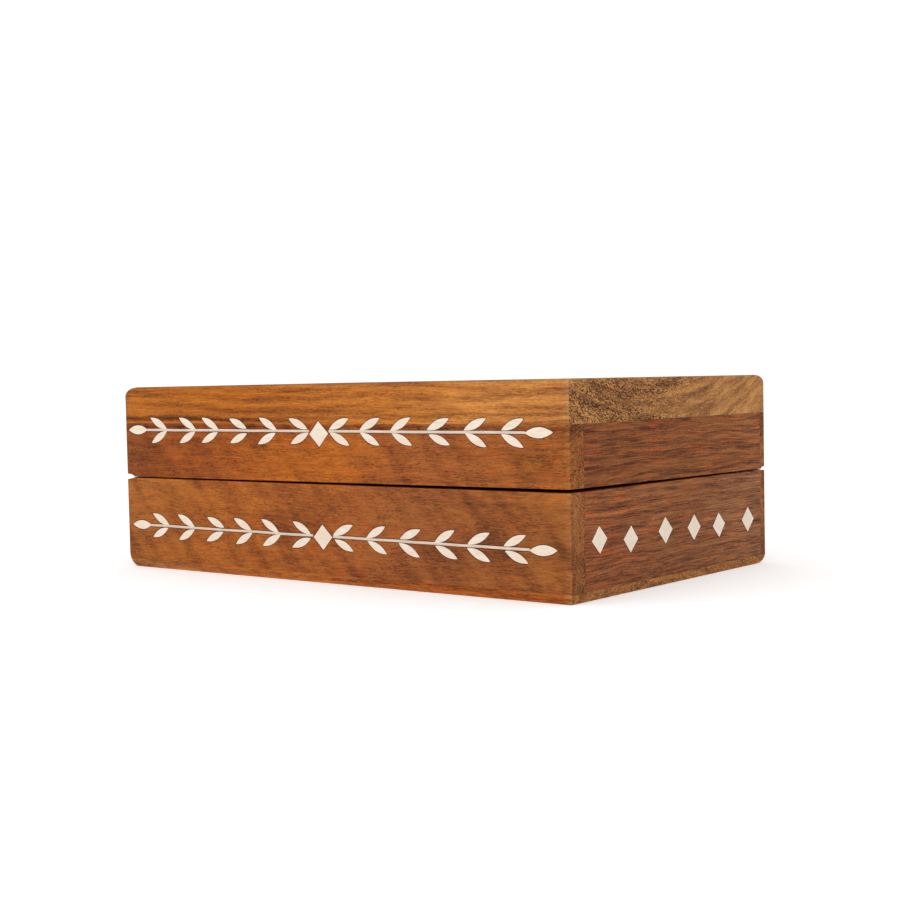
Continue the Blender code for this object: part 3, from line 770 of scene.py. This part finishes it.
def lid_form():
    """The lid's form, with a seam that closes towards the back."""
    form = sanded_form(
        "lid_form",
        *OUTSIDE["lid"],
        (CRISP, CRISP, CRISP, WORN_TOP),
        (SQUARE, SQUARE, WORN_TOP, FRONT_TOP_ROUND),
    )
    for vertex in form.data.vertices:
        at = vertex.co
        if at.z < SLAB_LOW:
            across = (at.x - LEFT) / (RIGHT - LEFT)
            deep = (at.y - FRONT) / (BACK - FRONT)
            front_gap = SEAM_LEFT + (SEAM_RIGHT - SEAM_LEFT) * across
            at.z += BASE_TOP - LID_LOW + front_gap + (SEAM_BACK - front_gap) * deep
    return form


def base_form():
    """The base's form, worn at the left foot and the back foot."""
    return sanded_form(
        "base_form",
        *OUTSIDE["base"],
        (WORN_LEFT_FOOT, CRISP, CRISP, CRISP),
        (SQUARE, WORN_BACK_FOOT, SQUARE, SQUARE),
    )


# ---------------------------------------------------------------- inlay trees


def prism_of(g, flat, thickness, proud):
    """A flat outline, centred at the origin, as a closed body from -thickness up to proud."""
    down = g.math("MULTIPLY", thickness, -1.0)
    floor = g.node("GeometryNodeTransform", flat, inputs={"Translation": g.joined(0, 0, down)})
    height = g.math("ADD", thickness, proud)
    raised = {"Mesh": floor, "Offset Scale": height, "Individual": False}
    walls = g.node("GeometryNodeExtrudeMesh", inputs=raised)
    under = g.node("GeometryNodeFlipFaces", floor)
    both = g.node("GeometryNodeJoinGeometry", keep=None)
    for body in (walls, under):
        g.tree.links.new(body, both.inputs[0])
    return g.node("GeometryNodeMergeByDistance", both.outputs[0], inputs={"Distance": 1e-6})


def random_share(g, seed, amount):
    """A number for each point, from -amount to amount."""
    made = g.node("FunctionNodeRandomValue", inputs={"Seed": seed}, data_type="FLOAT", keep=None)
    g.give(made.inputs[2], g.math("MULTIPLY", amount, -1.0))
    g.give(made.inputs[3], amount)
    return made.outputs[1]


def attribute(g, name):
    """What each point carries under a name."""
    return g.node("GeometryNodeInputNamedAttribute", name, data_type="FLOAT")


def vine_tree():
    """A vine: a stem that follows the path's edges, and a pointed leaf on each marked point."""
    g = Tree.group(
        "leaf_vine",
        "GeometryNodeTree",
        (
            ("Path", "NodeSocketGeometry", None),
            ("Stem Width", "NodeSocketFloat", STEM_WIDTH),
            ("Thickness", "NodeSocketFloat", BONE_THICKNESS),
            ("Proud", "NodeSocketFloat", 0.0),
            ("Grow", "NodeSocketFloat", 0.0),
            ("Size Variation", "NodeSocketFloat", 0.04),
            ("Turn Variation", "NodeSocketFloat", 0.06),
            ("Fullness", "NodeSocketFloat", LEAF_FULLNESS),
            ("Seed", "NodeSocketInt", 3),
            ("Leaf Finish", "NodeSocketMaterial", None),
            ("Stem Finish", "NodeSocketMaterial", None),
        ),
        (("Inlay", "NodeSocketGeometry"),),
    )
    round_plate = {"Vertices": LEAF_POINTS, "Radius": 1.0}
    circle = g.node("GeometryNodeMeshCircle", inputs=round_plate, fill_type="NGON")
    x, y, _ = g.parts(g.node("GeometryNodeInputPosition"))
    run = g.math("MULTIPLY", g.math("ADD", x, 1.0), math.pi / 2)
    bulge = g.math("POWER", g.math("MAXIMUM", g.math("SINE", run), 0.0), g.take("Fullness"))
    side = g.math("MULTIPLY", g.math("SIGN", y), 0.5)
    # the circle's two end points keep a sign of their own, so they are drawn to the middle
    on_side = g.math("GREATER_THAN", g.math("ABSOLUTE", y), 1e-4)
    lens = g.joined(
        g.math("MULTIPLY", x, 0.5),
        g.math("MULTIPLY", g.math("MULTIPLY", bulge, side), on_side),
        0.0,
    )
    flat = g.node("GeometryNodeSetPosition", circle, inputs={"Position": lens})
    leaf = prism_of(g, flat, g.take("Thickness"), g.take("Proud"))
    seed = g.take("Seed")
    size = random_share(g, seed, g.take("Size Variation"))
    twist = random_share(g, g.math("ADD", seed, OTHER_SEED), g.take("Turn Variation"))
    grow = g.math("MULTIPLY", g.take("Grow"), 2.0)
    size = g.math("ADD", size, 1.0)
    length = g.math("MULTIPLY", attribute(g, "leaf_length"), size)
    length = g.math("ADD", length, g.math("MULTIPLY", grow, TIP_REACH))
    width = g.math("ADD", g.math("MULTIPLY", attribute(g, "leaf_width"), size), grow)
    turn = g.math("ADD", attribute(g, "leaf_turn"), twist)
    leaves = g.node(
        "GeometryNodeInstanceOnPoints",
        inputs={
            "Points": g.take("Path"),
            "Selection": g.math("GREATER_THAN", attribute(g, "leaf_length"), 0.0),
            "Instance": leaf,
            "Rotation": g.node("FunctionNodeEulerToRotation", g.joined(0, 0, turn)),
            "Scale": g.joined(length, width, 1.0),
        },
    )
    leaves = g.node("GeometryNodeRealizeInstances", leaves)
    leaves = g.node("GeometryNodeSetMaterial", leaves, inputs={"Material": g.take("Leaf Finish")})
    path = g.node("GeometryNodeMeshToCurve", g.take("Path"))
    path = g.node("GeometryNodeSetCurveNormal", path, mode="Z_UP")
    height = g.math("ADD", g.take("Thickness"), g.take("Proud"))
    profile = g.node(
        "GeometryNodeCurvePrimitiveQuadrilateral",
        inputs={"Width": g.math("ADD", g.take("Stem Width"), grow), "Height": height},
        mode="RECTANGLE",
    )
    stem = g.node("GeometryNodeCurveToMesh", path, profile, inputs={"Fill Caps": True})
    lift = g.math("MULTIPLY", g.math("SUBTRACT", g.take("Proud"), g.take("Thickness")), 0.5)
    stem = g.node("GeometryNodeTransform", stem, inputs={"Translation": g.joined(0, 0, lift)})
    stem = g.node("GeometryNodeSetMaterial", stem, inputs={"Material": g.take("Stem Finish")})
    union = g.node("GeometryNodeMeshBoolean", operation="UNION", solver="EXACT", keep=None)
    for body in (stem, leaves):
        g.tree.links.new(body, union.inputs[1])
    union.inputs["Self Intersection"].default_value = True
    g.put("Inlay", g.node("GeometryNodeRealizeInstances", union.outputs[0]))
    return g.tree


def diamond_tree():
    """A square on its point at each of the given points, turned by the point's own angle."""
    g = Tree.group(
        "inlaid_diamonds",
        "GeometryNodeTree",
        (
            ("Points", "NodeSocketGeometry", None),
            ("Half Diagonal", "NodeSocketFloat", 4.9 * MM),
            ("Thickness", "NodeSocketFloat", BONE_THICKNESS),
            ("Proud", "NodeSocketFloat", 0.0),
            ("Grow", "NodeSocketFloat", 0.0),
            ("Size Variation", "NodeSocketFloat", 0.02),
            ("Seed", "NodeSocketInt", 5),
            ("Leaf Finish", "NodeSocketMaterial", None),
        ),
        (("Inlay", "NodeSocketGeometry"),),
    )
    square_plate = {"Vertices": 4, "Radius": 1.0}
    flat = g.node("GeometryNodeMeshCircle", inputs=square_plate, fill_type="NGON")
    tile = prism_of(g, flat, g.take("Thickness"), g.take("Proud"))
    vary = random_share(g, g.take("Seed"), g.take("Size Variation"))
    half = g.math("MULTIPLY", g.take("Half Diagonal"), g.math("ADD", vary, 1.0))
    half = g.math("ADD", half, g.math("MULTIPLY", g.take("Grow"), math.sqrt(2)))
    tiles = g.node(
        "GeometryNodeInstanceOnPoints",
        inputs={
            "Points": g.take("Points"),
            "Instance": tile,
            "Rotation": g.node("FunctionNodeEulerToRotation", g.joined(0, 0, attribute(g, "tile_turn"))),
            "Scale": g.joined(half, half, 1.0),
        },
    )
    done = g.node("GeometryNodeRealizeInstances", tiles)
    g.put("Inlay", g.node("GeometryNodeSetMaterial", done, inputs={"Material": g.take("Leaf Finish")}))
    return g.tree


def points_object(name, points, edges, attributes):
    """Points, with what each of them carries, for a tree to build on."""
    mesh = bpy.data.meshes.new(name)
    mesh.from_pydata([(*point, 0.0) for point in points], edges, [])
    for label, values in attributes.items():
        layer = mesh.attributes.new(label, "FLOAT", "POINT")
        layer.data.foreach_set("value", values)
    made = bpy.data.objects.new(name, mesh)
    bpy.context.scene.collection.objects.link(made)
    return made


def built(name, source, tree, values):
    """What a tree makes of a source object, as a plain mesh object."""
    modifier = source.modifiers.new("build", "NODES")
    modifier.node_group = tree
    named = {
        item.name: item.identifier
        for item in tree.interface.items_tree
        if item.item_type == "SOCKET" and item.in_out == "INPUT"
    }
    for label, value in values.items():
        modifier[named[label]] = value
    return finished(source, name)


class Face:
    """A flat face of the box: where u and v run on it, and which way is out."""

    def __init__(self, origin, along, up):
        along = Vector(along)
        up = Vector(up)
        out = along.cross(up)
        self.place = Matrix.Translation(origin) @ Matrix((along, up, out)).transposed().to_4x4()

    def lay(self, piece):
        piece.data.transform(self.place)
        return piece


FRONT_FACE = Face((0, FRONT, 0), (1, 0, 0), (0, 0, 1))
RIGHT_FACE = Face((RIGHT, 0, 0), (0, 1, 0), (0, 0, 1))
LEFT_FACE = Face((LEFT, 0, 0), (0, -1, 0), (0, 0, 1))
TOP_FACE = Face((0, 0, TOP), (1, 0, 0), (0, 1, 0))


def spot(node, face):
    """(low u, low v, high u, high v) of a CAD node on a face."""
    low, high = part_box(node)
    ends = [face.place.inverted() @ corner for corner in (low, high)]
    u = sorted(p.x for p in ends)
    v = sorted(p.y for p in ends)
    return u[0], v[0], u[1], v[1]


VINE = vine_tree()
DIAMONDS = diamond_tree()

bone = bone_finish("polished_bone", 0.5, (1.0, 1.0, 1.0))
stem_bone = bone_finish("stem_bone", 0.15, (0.86, 0.82, 0.80))
glue = glue_finish()
brass = metal_finish("aged_brass", (0.72, 0.50, 0.20, 1), (0.20, 0.12, 0.05, 1), 0.55)
screw_brass = metal_finish("screw_brass", (0.76, 0.55, 0.24, 1), (0.24, 0.15, 0.07, 1), 0.4)
pin_steel = metal_finish("pin_steel", (0.55, 0.53, 0.50, 1), (0.18, 0.16, 0.14, 1), 0.3)


def cutout(name, points, edges, attributes, tree, face, seed, half=None):
    """The three bodies of an inlay: the bone, the glue round and under it, and its pocket."""
    made = []
    depths = (
        ("", BONE_THICKNESS, 0.0, 0.0, bone, stem_bone),
        ("_glue", BONE_THICKNESS + GLUE_BED, -GLUE_SUNK, GLUE_WIDTH, glue, glue),
        ("_pocket", BONE_THICKNESS + GLUE_BED, PAST, GLUE_WIDTH, glue, glue),
    )
    for ending, thickness, proud, grow, leaf_finish, stem_finish in depths:
        source = points_object(name + "_points", points, edges, attributes)
        values = {
            "Thickness": thickness,
            "Proud": proud,
            "Grow": grow,
            "Seed": seed,
            "Leaf Finish": leaf_finish,
        }
        if half:
            values["Half Diagonal"] = half
        else:
            values["Stem Finish"] = stem_finish
        made.append(face.lay(built(name + ending, source, tree, values)))
    return made


class Inlay:
    """A face's inlay. It keeps the pockets that the boards under it have to be cut for."""

    def __init__(self):
        self.pockets = []

    def add(self, made, nodes, body):
        piece, bed, pocket = made
        boolean(bed, piece, "DIFFERENCE")
        bed = finished(bed)
        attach(piece, body)
        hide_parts(*nodes)
        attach(bed, body)
        self.pockets.append(pocket)


def leaf_stations(start, end, way, uneven):
    """Where each pair of leaves leaves the stem, from the middle of the board outwards."""
    first = start + way * FIRST_LEAF
    last = end - way * LAST_LEAF
    pitch = len(uneven) - 1
    return [first + (last - first) * i / pitch + shift * MM for i, shift in enumerate(uneven)]


def lay_vine(inlay, name, face, body, left_uneven, right_uneven, seed):
    """A vine from its CAD pieces: a diamond between two stems, each with leaf pairs and a bud."""
    for side, way, uneven in (("left", -1, left_uneven), ("right", 1, right_uneven)):
        sprig = spot(f"{name}_{side}_sprig", face)
        bud = spot(f"{name}_{side}_bud", face)
        start, end = (sprig[0], sprig[2]) if way > 0 else (sprig[2], sprig[0])
        middle = (sprig[1] + sprig[3]) / 2
        rng = random.Random(seed + way)
        points = []
        edges = []
        for i in range(STEM_STEPS + 1):
            u = start + (end - start) * i / STEM_STEPS
            points.append((u, middle + rng.uniform(-STEM_SWAY, STEM_SWAY)))
            if i:
                edges.append((i - 1, i))
        lengths = [0.0] * len(points)
        widths = [0.0] * len(points)
        turns = [0.0] * len(points)
        reach = LEAF_LENGTH / 2 * math.cos(LEAF_ANGLE)
        rise = STEM_WIDTH / 2 + LEAF_LENGTH / 2 * math.sin(LEAF_ANGLE)
        for station in leaf_stations(start, end, way, uneven):
            for up in (1, -1):
                gap = UPPER_LEAF_GAP
                slide = 0.0
                if up < 0:
                    gap = rng.uniform(LEAST_LOWER_GAP, 1.0) * LOWER_LEAF_GAP
                    slide = rng.uniform(-LOWER_LEAF_SLIDE, LOWER_LEAF_SLIDE)
                angle = up * LEAF_ANGLE
                points.append((station + way * reach + slide, middle + up * (rise + gap)))
                lengths.append(LEAF_LENGTH)
                widths.append(LEAF_WIDTH)
                turns.append(angle if way > 0 else math.pi - angle)
        points.append(((bud[0] + bud[2]) / 2, (bud[1] + bud[3]) / 2))
        lengths.append(bud[2] - bud[0] + BUD_OVERLAP)
        widths.append(BUD_WIDTH)
        turns.append(0.0)
        carried = {"leaf_length": lengths, "leaf_width": widths, "leaf_turn": turns}
        piece = f"{name}_{side}"
        made = cutout(piece, points, edges, carried, VINE, face, seed + way)
        inlay.add(made, (f"{name}_{side}_sprig", f"{name}_{side}_bud"), body)
    lay_diamonds(inlay, f"{name}_diamond", face, body, (f"{name}_centre_diamond",), seed)


def lay_diamonds(inlay, name, face, body, nodes, seed):
    """Diamonds where the CAD has them, each turned as its own corners are."""
    points = []
    turns = []
    half = 0.0
    inward = face.place.inverted()
    for node in nodes:
        low_u, low_v, high_u, high_v = spot(node, face)
        centre = Vector(((low_u + high_u) / 2, (low_v + high_v) / 2))
        corners = [(inward @ v.co).to_2d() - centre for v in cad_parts[node].data.vertices]
        point = max(corners, key=lambda corner: corner.x)
        points.append(tuple(centre))
        turns.append(math.atan2(point.y, point.x))
        half = point.length
    made = cutout(name, points, [], {"tile_turn": turns}, DIAMONDS, face, seed, half)
    inlay.add(made, nodes, body)


def smooth_shaded(piece):
    """Smooth across the sanded edges, crisp at corners, with the flats kept flat."""
    shape = bmesh.new()
    shape.from_mesh(piece.data)
    for polygon in shape.faces:
        polygon.smooth = True
    for edge in shape.edges:
        sharp = len(edge.link_faces) != 2 or edge.calc_face_angle(0) > CREASE
        edge.smooth = not sharp
    shape.to_mesh(piece.data)
    shape.free()
    weighting = piece.modifiers.new("flats", "WEIGHTED_NORMAL")
    weighting.keep_sharp = True
    weighting.weight = 100
    return finished(piece)


def rabbets(z_low, z_high):
    """The two rebates in a back board's ends that take the side boards."""
    made = []
    for left, right in ((WIDE[0] - PAST, LEFT_JOINT), (RIGHT_JOINT, WIDE[1] + PAST)):
        low = (left, BACK_INNER - PAST, z_low - PAST)
        high = (right, BACK_JOINT, z_high + PAST)
        made.append(to_object("rabbet", block(low, high)))
    return made


def add_board(name, node, body, spans, grain, zones, wood, shift, cutters=()):
    """One board: sawn oversize, sanded with its neighbours, then cut for its inlay and fittings."""
    low, high = zip(*spans)
    outside = [Vector(corner) for corner in OUTSIDE[body]]
    finish = wood_finish(f"{name}_hardwood", grain, zones, shift, wood, *outside)
    piece = to_object(name, block(low, high))
    boolean(piece, forms[body], "INTERSECT")
    for cutter in cutters:
        boolean(piece, cutter, "DIFFERENCE")
    piece = smooth_shaded(finished(piece))
    piece.data.materials.clear()
    piece.data.materials.append(finish)
    for polygon in piece.data.polygons:
        polygon.material_index = 0
    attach(piece, body)
    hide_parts(node)


# ---------------------------------------------------------------- inlay

front_lid = Inlay()
lay_vine(
    front_lid,
    "lid_vine",
    FRONT_FACE,
    "lid",
    left_uneven=(0.5, 0.2, -0.4, -0.5, 2.0, 0.5),
    right_uneven=(-0.9, -1.1, -1.9, 0, 1.0, 1.6),
    seed=11,
)
front_base = Inlay()
lay_vine(
    front_base,
    "base_vine",
    FRONT_FACE,
    "base",
    left_uneven=(0.2, -0.9, -0.2, 0.4, -1.2, -0.6),
    right_uneven=(-1.0, -0.2, 0.7, 1.0, 0.6, 0.6),
    seed=23,
)
top_side = Inlay()
lay_vine(
    top_side,
    "top_vine",
    TOP_FACE,
    "lid",
    left_uneven=(0, 0.6, -0.9, 0.2, 0.7, 0),
    right_uneven=(0, -0.5, 0.6, 1.0, -0.3, 0),
    seed=37,
)
corners = [f"top_{end}_{side}_diamond" for end in ("front", "back") for side in ("left", "right")]
lay_diamonds(top_side, "top_corner_diamonds", TOP_FACE, "lid", corners, seed=41)
sides = {}
for side, face in (("left", LEFT_FACE), ("right", RIGHT_FACE)):
    sides[side] = Inlay()
    row = [f"base_{side}_diamond_{i + 1}" for i in range(DIAMONDS_IN_A_ROW)]
    lay_diamonds(sides[side], f"base_{side}_diamonds", face, "base", row, seed=43)

# ---------------------------------------------------------------- hinges


def grown_box(name, node, margin):
    """A CAD node's box, larger by a margin all round."""
    low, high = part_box(node)
    reach = Vector((margin, margin, margin))
    return to_object(name, block(low - reach, high + reach))


def hinge_pocket(side, margin):
    """One pocket for both leaves of a closed hinge."""
    low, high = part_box(f"{side}_hinge_base_leaf")
    other_low, other_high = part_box(f"{side}_hinge_lid_leaf")
    reach = Vector((margin, margin, margin))
    low = Vector(map(min, low, other_low)) - reach
    high = Vector(map(max, high, other_high)) + reach
    return to_object(f"{side}_hinge_pocket", block(low, high))


fittings = {"base": [], "lid": []}
for side in ("left", "right"):
    pocket = hinge_pocket(side, LEAF_CLEARANCE)
    for body in ("base", "lid"):
        fittings[body].append(pocket)
        for i in ("left", "right"):
            node = f"{side}_hinge_{body}_{i}_screw"
            fittings[body].append(grown_box(f"{node}_hole", node, SCREW_CLEARANCE))

# ---------------------------------------------------------------- boards

forms = {"base": base_form(), "lid": lid_form()}
eased = [
    eased_corner(LEFT, FRONT, *EASED_FRONT_CORNER),
    eased_corner(RIGHT, BACK, *EASED_BACK_CORNER),
    eased_corner(LEFT, BACK, *EASED_BACK_CORNER),
]
for form in forms.values():
    for corner in eased:
        boolean(form, corner, "DIFFERENCE")
forms = {body: finished(form) for body, form in forms.items()}
rebates = {"base": rabbets(FLOOR_JOINT, BASE_TOP), "lid": rabbets(LID_LOW, SLAB_JOINT)}

# Tones along each board, from its left or front end to its right or back end
slab_zones = (
    (0.0, tone(150, 92, 50)),
    (0.012, tone(171, 97, 36)),
    (0.3, tone(172, 96, 33)),
    (0.62, tone(180, 106, 44)),
    (0.9, tone(187, 119, 59)),
    (0.988, tone(184, 116, 60)),
    (0.996, tone(182, 124, 70)),
)
lid_front_zones = (
    (0.0, tone(138, 74, 36)),
    (0.2, tone(152, 79, 27)),
    (0.5, tone(169, 91, 29)),
    (0.72, tone(156, 87, 44)),
    (0.985, tone(153, 86, 40)),
    (0.996, tone(158, 94, 46)),
)
base_front_zones = (
    (0.0, tone(156, 90, 42)),
    (0.25, tone(162, 90, 38)),
    (0.5, tone(158, 87, 41)),
    (0.72, tone(146, 83, 45)),
    (0.985, tone(151, 88, 44)),
    (0.996, tone(158, 96, 52)),
)
bottom_zones = (
    (0.0, tone(174, 108, 58)),
    (0.3, tone(176, 100, 46)),
    (0.8, tone(164, 86, 36)),
    (0.985, tone(166, 88, 38)),
    (0.996, tone(176, 114, 60)),
)
lid_side_zones = (
    (0.0, tone(129, 75, 43)),
    (0.5, tone(134, 78, 44)),
    (1.0, tone(141, 85, 49)),
)
base_side_zones = (
    (0.0, tone(143, 82, 48)),
    (0.5, tone(138, 84, 51)),
    (1.0, tone(142, 91, 60)),
)

# Each wood: where its pith lies, in millimetres, and how strongly each kind of mark shows
BOTTOM_WOOD = {
    "Pith Y": 20.0,
    "Pith Z": -80.0,
    "Ring Spacing": 5.0,
    "Streaks": 0.3,
    "Figure": 0.05,
    "Curl": 0.1,
    "Fire": 0.2,
}
BASE_LONG_WOOD = {
    "Pith Y": -160.0,
    "Pith Z": 15.0,
    "Sway": 8.0,
    "Ring Spacing": 9.0,
    "Rings": 0.08,
    "Streaks": 0.2,
    "Fibres": 0.22,
    "Curl": 0.12,
    "Figure": 0.3,
    "Pores": 0.75,
    "Fire": 0.35,
}
LID_LONG_WOOD = {
    "Pith Y": -150.0,
    "Pith Z": 210.0,
    "Sway": 6.0,
    "Ring Spacing": 9.0,
    "Rings": 0.08,
    "Streaks": 0.2,
    "Fibres": 0.24,
    "Curl": 0.12,
    "Figure": 0.22,
    "Pores": 0.8,
    "Fire": 0.45,
    "Heart Line Z": 59.6,
    "Heart Line": 0.3,
    "Heart End X": 480.0,
}
SIDE_WOOD = {
    "Sway": 9.0,
    "Ring Spacing": 4.0,
    "Rings": 0.14,
    "Streaks": 0.3,
    "Fibres": 0.5,
    "Fibre Length": 13.0,
    "Curl": 0.08,
    "Figure": 0.05,
    "Pores": 0.5,
    "Fire": 0.9,
}
SLAB_WOOD = {
    "Pith Y": -10.0,
    "Pith Z": 230.0,
    "Sway": 4.0,
    "Ring Spacing": 6.5,
    "Rings": 0.16,
    "Streaks": 0.42,
    "Fibres": 0.2,
    "Curl": 0.06,
    "Figure": 0.03,
    "Pores": 0.6,
    "End Pores": 1.0,
    "Fire": 0.2,
    "Heart Line Z": 62.6,
    "Heart Line": 0.45,
    "Heart End X": -10.0,
    "Back Calm": 0.35,
}


def pithed(wood, y, z):
    """The same wood from another part of the tree."""
    return {**wood, "Pith Y": y, "Pith Z": z}


def add_bottom_board():
    spans = (WIDE, DEEP, FLOOR_HIGH)
    shift = (0.4, 0.02, 0.01)
    add_board(
        "base_bottom", "base_bottom_board", "base", spans, "X", bottom_zones, BOTTOM_WOOD, shift,
    )


def add_long_boards(body, kind, high, front_inlay, zones, wood, back_wood, shifts):
    """The front and the back of the base or of the lid. The back takes the hinges and the side boards."""
    spans = (WIDE, FRONT_DEEP, high)
    add_board(
        f"{body}_front", f"{body}_front_{kind}", body, spans, "X", zones, wood, shifts[0],
        front_inlay.pockets,
    )
    spans = (WIDE, BACK_DEEP, high)
    add_board(
        f"{body}_back", f"{body}_back_{kind}", body, spans, "X", zones, back_wood, shifts[1],
        fittings[body] + rebates[body],
    )


def add_side_boards(body, kind, high, inlays, zones, piths, shifts):
    """The left and the right side of the base or of the lid."""
    for number, (side, wide) in enumerate((("left", LEFT_WIDE), ("right", RIGHT_WIDE))):
        spans = (wide, SIDE_DEEP, high)
        wood = pithed(SIDE_WOOD, *piths[number])
        pockets = inlays[side].pockets if inlays else ()
        add_board(
            f"{body}_{side}", f"{body}_{side}_{kind}", body, spans, "Y", zones, wood, shifts[number],
            pockets,
        )


def add_top_board():
    spans = (WIDE, DEEP, SLAB_HIGH)
    pockets = front_lid.pockets + top_side.pockets
    add_board(
        "lid_top", "lid_top_board", "lid", spans, "X", slab_zones, SLAB_WOOD, (0.0, 0.0, 0.0),
        pockets,
    )


add_bottom_board()
add_long_boards(
    "base",
    "board",
    BASE_HIGH,
    front_base,
    base_front_zones,
    BASE_LONG_WOOD,
    back_wood=pithed(BASE_LONG_WOOD, 10.0, 15.0),
    shifts=((0.1, 0.0, 0.0), (0.7, 0.1, 0.0)),
)
add_side_boards(
    "base",
    "board",
    BASE_HIGH,
    sides,
    base_side_zones,
    piths=((-100.0, -120.0), (90.0, -140.0)),
    shifts=((0.9, 0.0, 0.0), (0.2, 0.0, 0.0)),
)
add_long_boards(
    "lid",
    "rail",
    LID_HIGH,
    front_lid,
    lid_front_zones,
    LID_LONG_WOOD,
    back_wood=pithed(LID_LONG_WOOD, 210.0, 210.0),
    shifts=((0.0, 0.0, 0.0), (0.5, 0.2, 0.0)),
)
add_side_boards(
    "lid",
    "rail",
    LID_HIGH,
    None,
    lid_side_zones,
    piths=((-100.0, 190.0), (100.0, 220.0)),
    shifts=((0.6, 0.0, 0.0), (0.3, 0.0, 0.0)),
)
add_top_board()

# Patterns and cutters are put away
for side in (front_lid, front_base, top_side, *sides.values()):
    for pocket in side.pockets:
        bpy.data.objects.remove(pocket)
spare = {*forms.values(), *eased}
for body in ("base", "lid"):
    spare.update(fittings[body], rebates[body])
for shape in sorted(spare, key=lambda made: made.name):
    bpy.data.objects.remove(shape)

# The hinges keep their own shapes, and get their metals
for node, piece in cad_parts.items():
    finish = brass
    if node.endswith("_screw"):
        finish = screw_brass
    elif node.endswith("_pin"):
        finish = pin_steel
    elif not node.endswith("_leaf"):
        continue
    piece.data.materials.clear()
    piece.data.materials.append(finish)

# ---------------------------------------------------------------- studio


def studio():
    """A pale floor, a white surround and one large soft light at the front left."""
    scene = bpy.context.scene
    scene.view_settings.view_transform = "Standard"
    world = bpy.data.worlds.new("white_studio")
    world.use_nodes = True
    w = Tree(world.node_tree)
    sky = w.tree.nodes["Background"]
    sky.inputs["Color"].default_value = (1, 1, 1, 1)
    path = w.node("ShaderNodeLightPath", keep=None).outputs
    in_polish = w.math("MULTIPLY", path["Is Glossy Ray"], LESS_IN_POLISH)
    in_shade = w.math("MULTIPLY", path["Is Diffuse Ray"], LESS_IN_SHADE)
    less = w.math("ADD", in_polish, in_shade)
    w.give(sky.inputs["Strength"], w.math("SUBTRACT", SKY_STRENGTH, less))
    scene.world = world
    shape = bmesh.new()
    bmesh.ops.create_grid(shape, x_segments=1, y_segments=1, size=FLOOR_REACH)
    floor = to_object("studio_floor", shape)
    material, m = new_material("pale_floor")
    place = m.node("ShaderNodeTexCoord", keep=3)
    mottle = m.noise(place, 8.0, 3.0, 0.5)
    m.give(m.shader.inputs["Base Color"], m.blend(mottle, (0.94, 0.94, 0.94, 1), (0.97, 0.97, 0.97, 1)))
    m.shader.inputs["Roughness"].default_value = 0.8
    m.shader.inputs["Specular IOR Level"].default_value = 0.0
    m.shader.inputs["Emission Color"].default_value = (1, 1, 1, 1)
    m.shader.inputs["Emission Strength"].default_value = 0.3
    floor.data.materials.append(material)
    floor.visible_glossy = False
    light = bpy.data.lights.new("softbox", "AREA")
    light.shape = "RECTANGLE"
    light.size, light.size_y = SOFTBOX_SIZE
    light.energy = SOFTBOX_POWER
    lamp = bpy.data.objects.new("softbox", light)
    lamp.location = SOFTBOX_PLACE
    aim = Vector(SOFTBOX_AIM) - lamp.location
    lamp.rotation_euler = aim.to_track_quat("-Z", "Y").to_euler()
    scene.collection.objects.link(lamp)


def camera():
    """Level with the lid, looking at the front and the right side."""
    data = bpy.data.cameras.new("camera")
    data.lens = CAMERA_LENS
    data.sensor_width = CAMERA_FILM
    data.shift_x = CAMERA_SHIFT
    yaw, pitch, roll = (math.radians(angle) for angle in CAMERA_TURN)
    level = math.cos(pitch)
    ahead = Vector((-math.sin(yaw) * level, math.cos(yaw) * level, math.sin(pitch)))
    right = ahead.cross(Vector((0, 0, 1))).normalized()
    up = right.cross(ahead)
    tilted = math.cos(roll) * right + math.sin(roll) * up
    up = math.cos(roll) * up - math.sin(roll) * right
    turned = Matrix((tilted, up, -ahead)).transposed().to_4x4()
    made = bpy.data.objects.new("camera", data)
    made.matrix_world = Matrix.Translation(CAMERA_PLACE) @ turned
    bpy.context.scene.collection.objects.link(made)
    bpy.context.scene.camera = made


studio()
camera()
